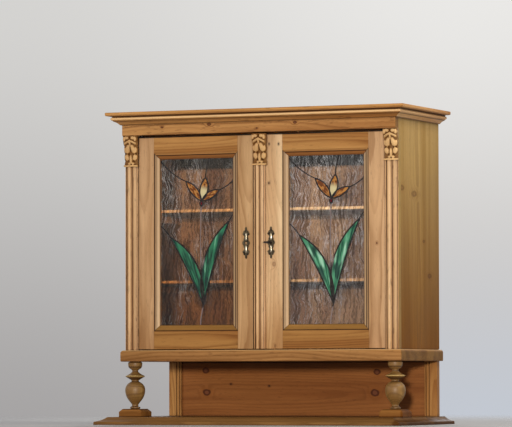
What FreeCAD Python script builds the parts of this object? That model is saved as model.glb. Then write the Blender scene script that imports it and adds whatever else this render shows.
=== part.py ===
import FreeCAD, Part
import math
import os
from types import SimpleNamespace

import Sketcher
from FreeCAD import Placement, Rotation, Vector

# Upper part of a stripped pine dresser: a glazed two-door cabinet under a mitred cornice,
# carried over an open niche by two turned columns and a framed back, on a moulded worktop.
# Frame: Z up, front towards -Y, origin under the middle of the worktop.

doc = FreeCAD.newDocument("glazed_dresser_top")

# Driving sizes, in millimetres
sizes = {
    # Carcass
    "body_depth": 391.0,
    "board_thick": 20.0,
    "back_thick": 12.0,
    "plank_lap": 6.0,
    "plank_gap": 0.6,
    "frame_thick": 22.0,
    "overrun": 10.0,
    # Worktop and its thumbnail edge
    "worktop_thick": 27.0,
    "worktop_side": 56.0,
    "worktop_reach": 147.0,
    "thumb_width": 35.0,
    "thumb_step": 1.6,
    "thumb_drop": 14.0,
    "thumb_nose": 4.0,
    # Niche between worktop and cabinet
    "niche_height": 195.0,
    "niche_stile_width": 48.0,
    "niche_stile_thick": 22.0,
    "niche_panel_thick": 12.0,
    "niche_panel_setback": 7.0,
    "niche_groove_width": 4.0,
    "niche_groove_depth": 3.0,
    "niche_bead_width": 16.0,
    # Turned columns and their plinths
    "column_setback": 27.0,
    "plinth_width": 87.0,
    "plinth_height": 28.0,
    "plinth_bevel": 10.5,
    "column_disc": 25.5,
    "column_neck": 9.5,
    "column_flange": 35.0,
    "column_waist": 12.5,
    "column_urn": 36.0,
    "column_foot": 10.5,
    "column_ring": 18.5,
    # Bottom board
    "bottom_thick": 40.0,
    "bottom_reach": 14.0,
    "bottom_round": 10.0,
    "bottom_arris": 4.0,
    # Frieze and cornice
    "frieze_reach": 28.0,
    "frieze_face": 37.0,
    "cornice_height": 43.0,
    "cornice_reach": 46.0,
    "cornice_fillet": 8.0,
    "cornice_lip": 10.0,
    "cornice_bead": 8.0,
    "cornice_start": 3.0,
    "crown_step": 13.0,
    # Pilasters and meeting strip
    "pilaster_width": 49.5,
    "reed_width": 15.0,
    "reed_margin": 4.0,
    "reed_depth": 3.5,
    "strip_width": 40.0,
    "strip_offset": 1.0,
    "strip_thick": 8.0,
    "strip_reed_width": 11.0,
    "strip_reed_margin": 3.5,
    # Carved console capitals
    "capital_width": 50.5,
    "capital_height": 110.0,
    "capital_reach": 25.0,
    "capital_foot": 12.0,
    "capital_ledge": 7.0,
    "capital_ledge_reach": 3.0,
    "meeting_capital_offset": 1.75,
    "rosette_radius": 17.0,
    "rosette_relief": 4.0,
    "rosette_button": 6.0,
    "leaf_relief": 2.5,
    # Doors
    "hinge_stile_width": 60.5,
    "inner_stile_reach": 85.0,
    "top_rail_width": 59.0,
    "bottom_rail_width": 63.0,
    "door_gap_under": 3.5,
    "door_gap_over": 5.5,
    "door_gap_side": 1.0,
    "meeting_gap": 4.0,
    "meeting_offset": 25.5,
    "hinge_round": 5.0,
    "tenon_length": 32.0,
    "tenon_thick": 8.0,
    "tenon_shoulder": 10.0,
    # Glazing
    "sight_width": 280.0,
    "sight_height": 586.0,
    "glazing_width": 22.0,
    "glazing_depth": 10.0,
    "glazing_set_in": 1.0,
    "glazing_quirk": 3.0,
    "glazing_lip": 2.5,
    "glass_thick": 3.0,
    "pane_cover": 14.0,
    "came_flange": 1.3,
    "came_width": 4.6,
    "came_web": 1.8,
    "came_line_width": 3.4,
    "came_line_web": 1.4,
    # Door pivots
    "pivot_inset": 10.0,
    "pivot_setback": 7.0,
    "pivot_radius": 4.0,
    "pivot_play": 0.05,
    "pivot_end": 10.0,
    "pivot_shank": 14.0,
    "collar_radius": 7.0,
    "collar_play": 0.3,
    "plate_length": 34.0,
    "plate_width": 14.0,
    "plate_thick": 2.5,
    # Escutcheons, lock and key
    "escutcheon_height": 112.0,
    "escutcheon_width": 28.0,
    "escutcheon_thick": 2.0,
    "escutcheon_slit": 3.4,
    "keyhole_radius": 4.2,
    "keyhole_slot": 3.6,
    "keyhole_drop": 11.0,
    "key_height": 370.5,
    "left_keyhole": 53.0,
    "right_keyhole": 42.0,
    "lock_back": 84.0,
    "lock_height": 86.0,
    "lock_thick": 14.0,
    "lock_wall": 3.0,
    "lock_below": 34.0,
    "lock_chamber": 14.0,
    "lock_chamber_depth": 8.0,
    "lock_bolt_height": 12.0,
    "lock_bolt_thick": 5.0,
    "lock_bolt_length": 70.0,
    "lock_bolt_rise": 17.0,
    "lock_bolt_play": 0.3,
    "strike_width": 20.0,
    "strike_height": 46.0,
    "strike_thick": 2.6,
    "key_radius": 3.0,
    "key_play": 0.3,
    "key_bow": 36.0,
    "key_bow_radius": 13.0,
    "key_bow_hole": 7.5,
    "key_bow_thick": 5.0,
    "key_collar_radius": 4.6,
    "key_collar_length": 4.0,
    "key_collar_gap": 4.0,
    "key_bit_length": 6.0,
    "key_bit_reach": 10.5,
    "key_bit_thick": 2.6,
    # Sliding bolts behind the left door
    "bolt_radius": 4.0,
    "bolt_length": 120.0,
    "bolt_end_gap": 8.0,
    "bolt_from_edge": 30.0,
    "bolt_play": 0.3,
    "socket_depth": 14.0,
    "bolt_knob": 4.0,
    "bolt_knob_length": 9.0,
    "strap_width": 30.0,
    "strap_height": 12.0,
    "strap_wall": 2.5,
    "strap_spread": 72.0,
    "keeper_thick": 2.0,
    "keeper_width": 24.0,
    # Inside
    "shelf_thick": 13.0,
    "shelf_setback": 45.0,
    "lower_shelf": 246.0,
    "upper_shelf": 497.0,
    "cleat_height": 22.0,
    "cleat_width": 16.0,
    "cleat_inset": 12.0,
}
plank_count = 5

sheet = doc.addObject("Spreadsheet::Sheet", "Sizes")
for row, (name, value) in enumerate(sizes.items(), 1):
    sheet.set(f"A{row}", name)
    sheet.set(f"B{row}", str(value))
    sheet.setAlias(f"B{row}", name)
doc.recompute()


class Size:
    """A length that knows its value now and the expression that gives it from the sheet."""

    def __init__(self, value, text):
        self.value = value
        self.text = text

    def __add__(self, other):
        return Size(self.value + other.value, f"({self.text} + {other.text})")

    def __sub__(self, other):
        return Size(self.value - other.value, f"({self.text} - {other.text})")

    def __neg__(self):
        return Size(-self.value, f"(-1 * {self.text})")

    def __mul__(self, other):
        if isinstance(other, Size):
            return Size(self.value * other.value, f"({self.text} * {other.text})")
        return Size(self.value * other, f"({self.text} * {other})")

    def __truediv__(self, other):
        if isinstance(other, Size):
            return Size(self.value / other.value, f"({self.text} / {other.text})")
        return Size(self.value / other, f"({self.text} / {other})")


zero = Size(0.0, "0")
s = SimpleNamespace(**{name: Size(float(sheet.get(name)), f"Sizes.{name}") for name in sizes})

# Shares: how far an arc bows, as a part of its chord
quarter_share = math.tan(math.pi / 8) / 2
soft_share = 0.12
faint_share = 0.06

nodes = {}


def bind(item, target, size):
    item.setExpression(target, size.text)


def place(item, x=zero, y=zero, z=zero, rotation=None):
    item.Placement = Placement(Vector(x.value, y.value, z.value), rotation or Rotation())
    bind(item, ".Placement.Base.x", x)
    bind(item, ".Placement.Base.y", y)
    bind(item, ".Placement.Base.z", z)
    return item


def keep(item, name=None):
    """Counts an object as a sub-part, under the name of its file."""
    item.Label = name or item.Label
    nodes[item.Label] = item
    return item


def block(name, x, y, z):
    """A squared board between two planes along each axis."""
    item = doc.addObject("Part::Box", name)
    for side, (low, high) in zip(("Length", "Width", "Height"), (x, y, z)):
        setattr(item, side, (high - low).value)
        bind(item, side, high - low)
    return place(item, x[0], y[0], z[0])


def rod(name, radius, length, x, y, z, rotation=None):
    item = doc.addObject("Part::Cylinder", name)
    item.Radius = radius.value
    item.Height = length.value
    bind(item, "Radius", radius)
    bind(item, "Height", length)
    return place(item, x, y, z, rotation)


def join(name, *items):
    fuse = doc.addObject("Part::MultiFuse", name)
    fuse.Shapes = list(items)
    return fuse


def carve(name, base, *tools):
    cut = doc.addObject("Part::Cut", name)
    cut.Base = base
    cut.Tool = tools[0] if len(tools) == 1 else join(f"{name}_tools", *tools)
    return cut


def group(name, items):
    """Several loose solids that share one node."""
    bundle = doc.addObject("Part::Compound", name)
    bundle.Links = list(items)
    return keep(bundle)


def origin_plane(body, role):
    return next(item for item in body.Origin.OriginFeatures if item.Role == role)


def pin_point(sketch, edge, end, x, y):
    for kind, size in (("DistanceX", x), ("DistanceY", y)):
        index = sketch.addConstraint(Sketcher.Constraint(kind, edge, end, size.value))
        bind(sketch, f"Constraints[{index}]", size)


def draw(sketch, path):
    """Draws a closed outline. A corner is (x, y), or (x, y, share) where the edge that leads
    to it bows by that share of its chord, to the right of the way for a share above zero."""
    first = sketch.GeometryCount
    ends = []
    for index, corner in enumerate(path):
        goal = path[(index + 1) % len(path)]
        start = Vector(corner[0].value, corner[1].value, 0)
        stop = Vector(goal[0].value, goal[1].value, 0)
        if len(goal) == 2:
            sketch.addGeometry(Part.LineSegment(start, stop), False)
            ends.append((1, 2))
            continue
        share = goal[2] if isinstance(goal[2], Size) else Size(goal[2], str(goal[2]))
        along = stop - start
        middle = (start + stop) / 2 + Vector(along.y, -along.x, 0) * share.value
        arc = Part.Arc(start, middle, stop)
        sketch.addGeometry(arc, False)
        ends.append((1, 2) if share.value > 0 else (2, 1))
        chord_x = goal[0] - corner[0]
        chord_y = goal[1] - corner[1]
        bow = f"abs({share.text})"
        chord = f"sqrt(({chord_x.text})^2 + ({chord_y.text})^2)"
        radius = Size(sketch.Geometry[first + index].Radius, f"{chord} * (1 + 4 * {bow}^2) / (8 * {bow})")
        added = sketch.addConstraint(Sketcher.Constraint("Radius", first + index, radius.value))
        bind(sketch, f"Constraints[{added}]", radius)
    for index, corner in enumerate(path):
        before = index - 1 if index else len(path) - 1
        joint = Sketcher.Constraint(
            "Coincident", first + before, ends[before][1], first + index, ends[index][0]
        )
        sketch.addConstraint(joint)
        pin_point(sketch, first + index, ends[index][0], corner[0], corner[1])


def draw_circle(sketch, x, y, radius):
    index = sketch.addGeometry(
        Part.Circle(Vector(x.value, y.value, 0), Vector(0, 0, 1), radius.value), False
    )
    pin_point(sketch, index, 3, x, y)
    added = sketch.addConstraint(Sketcher.Constraint("Radius", index, radius.value))
    bind(sketch, f"Constraints[{added}]", radius)


def sketch_in(body, role, *paths):
    sketch = body.newObject("Sketcher::SketchObject", f"{body.Name}_sketch")
    sketch.AttachmentSupport = (origin_plane(body, role), "")
    sketch.MapMode = "FlatFace"
    for path in paths:
        draw(sketch, path)
    return sketch


def pad(body, sketch, length, symmetric=False, reverse=False):
    feature = body.newObject("PartDesign::Pad", f"{body.Name}_pad")
    feature.Profile = sketch
    feature.SideType = "Symmetric" if symmetric else "One side"
    feature.Reversed = reverse
    feature.Length = length.value
    bind(feature, "Length", length)
    return feature


def pocket(body, sketch, length=None, reverse=False):
    """A pocket right through, both ways, or one of a given depth."""
    feature = body.newObject("PartDesign::Pocket", f"{body.Name}_pocket")
    feature.Profile = sketch
    if length is None:
        feature.Type = "ThroughAll"
        feature.SideType = "Symmetric"
        return feature
    feature.Reversed = reverse
    feature.Length = length.value
    bind(feature, "Length", length)
    return feature


def new_body(name):
    return doc.addObject("PartDesign::Body", name)


def post(name, path, low, high):
    """An outline in plan, drawn up from one height to another."""
    body = new_body(name)
    pad(body, sketch_in(body, "XY_Plane", path), high - low)
    return place(body, z=low)


def rail(name, path, low, high):
    """An outline in the YZ plane, drawn out along X."""
    body = new_body(name)
    pad(body, sketch_in(body, "YZ_Plane", path), high - low)
    return place(body, x=low)


def runner(name, path, low, high):
    """An outline in the XZ plane, drawn back along Y."""
    body = new_body(name)
    pad(body, sketch_in(body, "XZ_Plane", path), high - low, reverse=True)
    return place(body, y=low)


def turned(name, path):
    """An outline of radius and height, turned about Z."""
    body = new_body(name)
    sketch = sketch_in(body, "XZ_Plane", path)
    feature = body.newObject("PartDesign::Revolution", f"{name}_turning")
    feature.Profile = sketch
    feature.ReferenceAxis = (sketch, ["V_Axis"])
    feature.Angle = 360.0
    return body


def edges_where(shape, test):
    """Names of the straight edges whose two ends both pass the test."""
    return [
        f"Edge{index}"
        for index, edge in enumerate(shape.Edges, 1)
        if len(edge.Vertexes) == 2 and all(test(vertex.Point) for vertex in edge.Vertexes)
    ]


# Levels and planes that the pieces share
opening_width = s.sight_width + s.glazing_width * 2
half_body = (
    s.inner_stile_reach + opening_width + s.hinge_stile_width + s.door_gap_side + s.pilaster_width
)
half_inside = half_body - s.board_thick
back_y = (s.body_depth + s.worktop_reach) / 2
front_y = back_y - s.body_depth
worktop_y = front_y - s.worktop_reach
half_worktop = half_body + s.worktop_side
niche_low = s.worktop_thick
niche_top = niche_low + s.niche_height
floor_z = niche_top + s.bottom_thick
door_low = floor_z + s.door_gap_under
opening_low = door_low + s.bottom_rail_width
sight_low = opening_low + s.glazing_width
opening_top = sight_low + s.sight_height + s.glazing_width
door_top = opening_top + s.top_rail_width
head_z = door_top + s.door_gap_over
cornice_low = head_z + s.frieze_face
cornice_top = cornice_low + s.cornice_height
crown_top = cornice_top - s.crown_step
head_top = head_z + s.board_thick
frieze_y = front_y - s.frieze_reach
inner_back_y = back_y - s.back_thick
door_back_y = front_y + s.frame_thick
key_z = door_low + s.key_height


# Worktop and bottom board: slabs whose front and side edges are moulded
def slab(name, half_width, front, low, high):
    body = new_body(name)
    outline = [
        (-half_width, front),
        (half_width, front),
        (half_width, back_y),
        (-half_width, back_y),
    ]
    pad(body, sketch_in(body, "XY_Plane", outline), high - low)
    return place(body, z=low)


def mould_edges(body, half_width, front, profile):
    """Cuts a profile of (distance in from the edge, height, share) along the front and sides."""
    facing = [(front + inset, height, *share) for inset, height, *share in profile]
    pocket(body, sketch_in(body, "YZ_Plane", facing))
    left = [(-half_width + inset, height, *share) for inset, height, *share in profile]
    right = [
        (half_width - inset, height, *[-part for part in share])
        for inset, height, *share in profile
    ]
    pocket(body, sketch_in(body, "XZ_Plane", left, right))


worktop = slab("worktop", half_worktop, worktop_y, zero, s.worktop_thick)
thumb_top = s.worktop_thick - s.thumb_step
thumb_low = thumb_top - s.thumb_drop
mould_edges(worktop, half_worktop, worktop_y, [
    (s.thumb_width, s.worktop_thick + s.overrun),
    (s.thumb_width, thumb_top),
    (s.thumb_nose, thumb_low, -faint_share),
    (zero, thumb_low - s.thumb_nose, quarter_share),
    (-s.overrun, thumb_low - s.thumb_nose),
    (-s.overrun, s.worktop_thick + s.overrun),
])
keep(worktop)

half_bottom = half_body + s.bottom_reach
bottom_y = front_y - s.bottom_reach
bottom_board = slab("bottom_board_body", half_bottom, bottom_y, niche_top, floor_z)
mould_edges(bottom_board, half_bottom, bottom_y, [
    (s.bottom_round, s.bottom_thick + s.overrun),
    (s.bottom_round, s.bottom_thick),
    (zero, s.bottom_thick - s.bottom_round, quarter_share),
    (-s.overrun, s.bottom_thick - s.bottom_round),
    (-s.overrun, s.bottom_thick + s.overrun),
])
mould_edges(bottom_board, half_bottom, bottom_y, [
    (-s.overrun, -s.overrun),
    (-s.overrun, s.bottom_arris),
    (zero, s.bottom_arris),
    (s.bottom_arris, zero, quarter_share),
    (s.bottom_arris, -s.overrun),
])


# Niche: columns on plinths in front, framed panel at the back
def column_outline():
    """Radius and height of the turning, from its foot to its head."""
    tall = s.niche_height - s.plinth_height
    ring_low_share = 0.014
    ring_high_share = 0.036
    ring_share = 0.05
    foot_share = 0.095
    urn_share = 0.42
    shoulder_share = 0.575
    waist_share = 0.605
    rim_low_share = 0.68
    rim_edge_low_share = 0.687
    rim_edge_high_share = 0.698
    rim_share = 0.705
    neck_share = 0.8
    disc_low_share = 0.845
    disc_share = 0.93
    belly_share = 0.16
    ring_width_share = 0.86
    rim_width_share = 0.94
    disc_width_share = 0.8
    return [
        (zero, zero),
        (s.column_ring * ring_width_share, zero),
        (s.column_ring, tall * ring_low_share),
        (s.column_ring, tall * ring_high_share),
        (s.column_ring * ring_width_share, tall * ring_share),
        (s.column_foot, tall * foot_share, -quarter_share),
        (s.column_urn, tall * urn_share, soft_share),
        (s.column_waist, tall * shoulder_share, belly_share),
        (s.column_waist, tall * waist_share),
        (s.column_flange * rim_width_share, tall * rim_low_share, -soft_share),
        (s.column_flange, tall * rim_edge_low_share),
        (s.column_flange, tall * rim_edge_high_share),
        (s.column_flange * rim_width_share, tall * rim_share),
        (s.column_neck, tall * neck_share, -soft_share),
        (s.column_disc * disc_width_share, tall * disc_low_share, -soft_share),
        (s.column_disc, tall * disc_share, soft_share),
        (s.column_disc, tall),
        (zero, tall),
    ]


def plinth(name, x, y):
    half = s.plinth_width / 2
    body = new_body(name)
    outline = [(-half, -half), (half, -half), (half, half), (-half, half)]
    block_pad = pad(body, sketch_in(body, "XY_Plane", outline), s.plinth_height)
    doc.recompute()
    top = s.plinth_height.value
    bevel = body.newObject("PartDesign::Chamfer", f"{name}_bevel")
    bevel.Base = (block_pad, edges_where(block_pad.Shape, lambda point: point.z > top / 2))
    bevel.Size = s.plinth_bevel.value
    bind(bevel, "Size", s.plinth_bevel)
    return keep(place(body, x, y, niche_low))


def column(name, x, y):
    body = turned(name, column_outline())
    return keep(place(body, x, y, niche_low + s.plinth_height))


column_x = half_body - s.pilaster_width / 2
column_y = front_y + s.column_setback
for side, hand in (("left", -1), ("right", 1)):
    plinth(f"plinth_{side}", column_x * hand, column_y)
    column(f"column_{side}", column_x * hand, column_y)


def grooved(low, high, front, back, lands):
    """A section whose front is cut by square grooves at the given places."""
    path = [(low, front)]
    for start in lands:
        path += [
            (start, front),
            (start, front + s.niche_groove_depth),
            (start + s.niche_groove_width, front + s.niche_groove_depth),
            (start + s.niche_groove_width, front),
        ]
    return path + [(high, front), (high, back), (low, back)]


niche_stile_y = back_y - s.niche_stile_thick
for side, inner, outer in (
    ("left", -(half_body - s.niche_stile_width), -half_body),
    ("right", half_body - s.niche_stile_width, half_body),
):
    low, high = (outer, inner) if side == "left" else (inner, outer)
    bead = s.niche_bead_width
    lands = [high - bead - s.niche_groove_width, high - s.niche_groove_width * 2]
    if side == "right":
        lands = [low + s.niche_groove_width, low + bead]
    section = grooved(low, high, niche_stile_y, back_y, lands)
    keep(post(f"niche_stile_{side}", section, niche_low, niche_top))

panel_y = niche_stile_y + s.niche_panel_setback
keep(block(
    "niche_panel",
    (-(half_body - s.niche_stile_width), half_body - s.niche_stile_width),
    (panel_y, panel_y + s.niche_panel_thick),
    (niche_low, niche_top),
))

# Carcass boards
for side, low, high in (("left", -half_body, -half_inside), ("right", half_inside, half_body)):
    keep(block(f"side_{side}", (low, high), (door_back_y, back_y), (floor_z, crown_top)))


def reeded(low, high, front, back, margin, reed, depth):
    """A section with two half-round reeds let into its front."""
    arch = depth / reed
    return [
        (low, front),
        (low + margin, front),
        (low + margin, front + depth),
        (low + margin + reed, front + depth, arch),
        (high - margin - reed, front + depth),
        (high - margin, front + depth, arch),
        (high - margin, front),
        (high, front),
        (high, back),
        (low, back),
    ]


for side, low, high in (
    ("left", -half_body, s.pilaster_width - half_body),
    ("right", half_body - s.pilaster_width, half_body),
):
    section = reeded(low, high, front_y, door_back_y, s.reed_margin, s.reed_width, s.reed_depth)
    keep(post(f"pilaster_{side}", section, floor_z, crown_top))

keep(block("frieze_rail", (-half_body, half_body), (frieze_y, front_y), (head_z, crown_top)))


# Cornice: one profile, mitred at the two front corners
def cornice_profile(face, hand):
    """The moulding's outline outside a face, from its foot to its top."""
    top = s.cornice_height
    fillet_low = top - s.cornice_fillet
    lip = s.cornice_reach - s.cornice_lip
    bead_low = fillet_low - s.cornice_bead
    bead_share = 0.2
    chamfer = s.cornice_start
    outline = [
        (zero, zero),
        (s.cornice_start, zero),
        (lip - s.cornice_bead, bead_low - s.cornice_start, soft_share),
        (lip - s.cornice_bead, bead_low),
        (lip, fillet_low, bead_share),
        (s.cornice_reach - chamfer, fillet_low),
        (s.cornice_reach, fillet_low + chamfer),
        (s.cornice_reach, top),
        (zero, top),
    ]
    return [
        (face + out * hand, height, *[part * hand for part in share])
        for out, height, *share in outline
    ]


cornice_y = frieze_y - s.cornice_reach
cornice_front = new_body("cornice_front")
pad(
    cornice_front,
    sketch_in(cornice_front, "YZ_Plane", cornice_profile(frieze_y, -1)),
    (half_body + s.cornice_reach) * 2,
    symmetric=True,
)
mitre_x = half_body + s.cornice_reach
pocket(cornice_front, sketch_in(
    cornice_front,
    "XY_Plane",
    [
        (mitre_x, cornice_y),
        (mitre_x, frieze_y + s.overrun),
        (half_body - s.overrun, frieze_y + s.overrun),
    ],
    [
        (-mitre_x, cornice_y),
        (-(half_body - s.overrun), frieze_y + s.overrun),
        (-mitre_x, frieze_y + s.overrun),
    ],
))
keep(place(cornice_front, z=cornice_low))

for side, hand in (("left", -1), ("right", 1)):
    body = new_body(f"cornice_{side}")
    section = sketch_in(body, "XZ_Plane", cornice_profile(half_body * hand, hand))
    pad(body, section, (back_y - cornice_y), reverse=True)
    pocket(body, sketch_in(body, "XY_Plane", [
        (mitre_x * hand, zero),
        ((half_body - s.overrun) * hand, s.cornice_reach + s.overrun),
        ((half_body - s.overrun) * hand, zero),
    ]))
    keep(place(body, y=cornice_y, z=cornice_low))

# Back of lapped planks, nailed between the sides
plank_pitch = half_inside * 2 / plank_count
planks = []
for index in range(plank_count):
    low = plank_pitch * index - half_inside
    high = low + plank_pitch
    middle = inner_back_y + s.back_thick / 2
    section = [(low, inner_back_y)]
    if index < plank_count - 1:
        section += [
            (high - s.plank_gap, inner_back_y),
            (high - s.plank_gap, middle),
            (high + s.plank_lap - s.plank_gap, middle),
            (high + s.plank_lap - s.plank_gap, back_y),
        ]
    else:
        section += [(high, inner_back_y), (high, back_y)]
    if index:
        section += [(low + s.plank_lap, back_y), (low + s.plank_lap, middle), (low, middle)]
    else:
        section += [(low, back_y)]
    planks.append(post(f"plank_{index + 1}", section, floor_z, head_top))
group("back_planks", planks)

# Shelves on cleats
shelf_y = front_y + s.shelf_setback
cleats = []
for name, rise in (("lower", s.lower_shelf), ("upper", s.upper_shelf)):
    top = floor_z + rise
    low = top - s.shelf_thick
    keep(block(f"shelf_{name}", (-half_inside, half_inside), (shelf_y, inner_back_y), (low, top)))
    for side, near, far in (
        ("left", -half_inside, s.cleat_width - half_inside),
        ("right", half_inside - s.cleat_width, half_inside),
    ):
        cleats.append(block(
            f"cleat_{name}_{side}",
            (near, far),
            (shelf_y + s.cleat_inset, inner_back_y),
            (low - s.cleat_height, low),
        ))
group("shelf_cleats", cleats)


# Capitals: a console with a rosette above a leaf, on a small ledge
def capital(name, x):
    half = s.capital_width / 2
    tall = s.capital_height
    reach = s.capital_reach
    foot = s.capital_foot - s.capital_ledge_reach
    waist_share = 0.5
    brow_share = 0.72
    shank_share = 0.84
    rosette_share = 0.84
    leaf_shares = [
        (0.55, 0.16, 0.2),
        (0.42, 0.24, 0.1),
        (0.82, 0.34, 0.25),
        (0.6, 0.44, 0.1),
        (1.0, 0.58, 0.25),
        (0.72, 0.66, 0.1),
        (1.0, 0.82, 0.15),
    ]
    body = new_body(name)
    side_view = [
        (zero, zero),
        (zero, tall),
        (-reach, tall),
        (-reach, tall * brow_share),
        (-reach * waist_share, tall * waist_share, soft_share),
        (-foot, s.capital_ledge, -faint_share),
        (-foot, zero),
    ]
    pad(body, sketch_in(body, "YZ_Plane", side_view), half * shank_share * 2, symmetric=True)
    ledge = sketch_in(body, "XY_Plane", [
        (-half, -s.capital_foot),
        (half, -s.capital_foot),
        (half, zero),
        (-half, zero),
    ])
    pad(body, ledge, s.capital_ledge)
    right = [(half * across, tall * up, bow) for across, up, bow in leaf_shares]
    bows = [bow for across, up, bow in leaf_shares[1:]] + [faint_share]
    left = [(-half * leaf[0], tall * leaf[1], bow) for leaf, bow in zip(leaf_shares, bows)]
    crown = [(half, tall), (-half, tall), left[-1][:2]]
    outline = [(zero, s.capital_ledge, leaf_shares[0][2]), *right, *crown, *reversed(left[:-1])]
    pad(body, sketch_in(body, "XZ_Plane", outline), reach * waist_share + s.leaf_relief)
    for radius, relief in (
        (s.rosette_radius, s.rosette_relief / 2),
        (s.rosette_button, s.rosette_relief),
    ):
        disc = sketch_in(body, "XZ_Plane")
        draw_circle(disc, zero, tall * rosette_share, radius)
        pad(body, disc, reach + relief)
    return keep(place(body, x, front_y, head_z - tall))


capital("capital_left", -column_x)
capital("capital_right", column_x)
meeting_capital = capital("meeting_capital", s.meeting_capital_offset)
place(meeting_capital, s.meeting_capital_offset, front_y, door_top - s.capital_height)

# Doors
pivot_x = half_body - s.pilaster_width - s.door_gap_side - s.pivot_inset
pivot_y = front_y + s.pivot_setback
sight_centre = s.inner_stile_reach + opening_width / 2
pane_y = front_y + s.glazing_set_in + s.glazing_depth
frame_middle = front_y + s.frame_thick / 2


def door_sides(side):
    """Hinge edge, free edge, and the two edges of a door's opening, from its hinge edge inwards."""
    hand = -1 if side == "left" else 1
    hinge_edge = (half_body - s.pilaster_width - s.door_gap_side) * hand
    free_edge = -(s.meeting_offset + s.meeting_gap / 2 * (1 if side == "left" else -1))
    outer_opening = (s.inner_stile_reach + opening_width) * hand
    inner_opening = s.inner_stile_reach * hand
    return hand, hinge_edge, free_edge, outer_opening, inner_opening


def span(first, second):
    """Two places along an axis, the lower one first."""
    return (first, second) if first.value < second.value else (second, first)


def tenon_span(edge, hand):
    """From a shoulder line into the stile beyond it."""
    return span(edge, edge + s.tenon_length * hand)


def rails(side, opening_outer, opening_inner, hand):
    """Rails with a tenon at each end, and the mortises that take them."""
    tenon_y = (frame_middle - s.tenon_thick / 2, frame_middle + s.tenon_thick / 2)
    mortises = {"hinge": [], "free": []}
    for name, low, high in (
        ("bottom_rail", door_low, opening_low),
        ("top_rail", opening_top, door_top),
    ):
        heights = (low + s.tenon_shoulder, high - s.tenon_shoulder)
        tongues = []
        for end, edge, way in (("hinge", opening_outer, hand), ("free", opening_inner, -hand)):
            tongue_x = tenon_span(edge, way)
            tongues.append(block(f"{side}_{name}_{end}_tenon", tongue_x, tenon_y, heights))
            mortises[end].append(block(f"{side}_{name}_{end}_mortise", tongue_x, tenon_y, heights))
        board = block(
            f"{side}_{name}_board", span(opening_outer, opening_inner), (front_y, door_back_y),
            (low, high),
        )
        keep(join(f"{side}_{name}", board, *tongues))
    return mortises


def stick_frame(name, centre_x, low, high, width, section):
    """Four mitred sticks around an opening; the section is drawn for the top stick."""
    sticks = []
    middle_z = (low + high) / 2
    across = width / 2
    up = (high - low) / 2
    for place_name, turn, length, x, z in (
        ("top", 0, width, centre_x, high),
        ("right", 90, high - low, centre_x + across, middle_z),
        ("bottom", 180, width, centre_x, low),
        ("left", 270, high - low, centre_x - across, middle_z),
    ):
        body = new_body(f"{name}_{place_name}")
        pad(body, sketch_in(body, "YZ_Plane", section), length, symmetric=True)
        deep = s.glazing_width + s.overrun
        end = length / 2
        pocket(body, sketch_in(
            body,
            "XZ_Plane",
            [(end, zero), (end - deep, -deep), (end, -deep)],
            [(-end, zero), (-end, -deep), (deep - end, -deep)],
        ))
        sticks.append(place(body, x, zero, z, Rotation(Vector(0, 1, 0), turn)))
    return group(name, sticks)


def moulding_section():
    """Glazing moulding: a quirk, an ogee falling to the glass, and a lip at the sight edge."""
    face = front_y + s.glazing_set_in
    lip_y = pane_y - s.glazing_lip
    return [
        (face, zero),
        (face, -s.glazing_quirk),
        (face + s.glazing_set_in, -s.glazing_quirk),
        (lip_y, -(s.glazing_width - s.glazing_quirk), soft_share),
        (lip_y, -s.glazing_width),
        (pane_y, -s.glazing_width),
        (pane_y, zero),
    ]


def bead_section():
    """Square bead behind the glass, with its inner arris taken off."""
    start = pane_y + s.glass_thick
    return [
        (start, zero),
        (start, -s.glazing_width),
        (door_back_y - s.glazing_quirk, -s.glazing_width),
        (door_back_y, s.glazing_quirk - s.glazing_width),
        (door_back_y, zero),
    ]


def pivot_pin(name, x, upward):
    """A pin with a thrust collar, let into the door's end and turning in a plate."""
    gap = s.door_gap_over if upward else s.door_gap_under
    collar = gap - s.collar_play
    body = turned(name, [
        (zero, -s.pivot_shank),
        (s.pivot_radius, -s.pivot_shank),
        (s.pivot_radius, zero),
        (s.collar_radius, zero),
        (s.collar_radius, collar),
        (s.pivot_radius, collar),
        (s.pivot_radius, gap + s.pivot_end),
        (zero, gap + s.pivot_end),
    ])
    if upward:
        return place(body, x, pivot_y, door_top)
    return place(body, x, pivot_y, door_low, Rotation(Vector(1, 0, 0), 180))


def stiles(side, mortises):
    hand, hinge_edge, free_edge, opening_outer, opening_inner = door_sides(side)
    rounded = s.hinge_round
    hinge_section = [
        (hinge_edge, door_back_y),
        (hinge_edge, front_y + rounded),
        (hinge_edge - rounded * hand, front_y, -quarter_share * hand),
        (opening_outer, front_y),
        (opening_outer, door_back_y),
    ]
    post_body = post(f"{side}_hinge_stile_post", hinge_section, door_low, door_top)
    bores = [
        rod(f"{side}_low_bore", s.pivot_radius, s.pivot_shank, pivot_x * hand, pivot_y, door_low),
        rod(
            f"{side}_top_bore", s.pivot_radius, s.pivot_shank, pivot_x * hand, pivot_y,
            door_top - s.pivot_shank,
        ),
    ]
    keep(carve(f"{side}_hinge_stile", post_body, *mortises["hinge"], *bores))
    board = block(
        f"{side}_inner_stile_board", span(free_edge, opening_inner), (front_y, door_back_y),
        (door_low, door_top),
    )
    cuts = list(mortises["free"])
    if side == "right":
        cuts += keyhole("stile_keyhole", s.right_keyhole, front_y - s.overrun, door_back_y + s.overrun)
    keep(carve(f"{side}_inner_stile", board, *cuts))


def keyhole(name, x, front, back):
    """A round hole with a slot below it, through a board."""
    turn = Rotation(Vector(1, 0, 0), -90)
    hole = rod(f"{name}_round", s.keyhole_radius, back - front, x, front, key_z, turn)
    half = s.keyhole_slot / 2
    slot = block(f"{name}_slot", (x - half, x + half), (front, back), (key_z - s.keyhole_drop, key_z))
    return [hole, slot]


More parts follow.
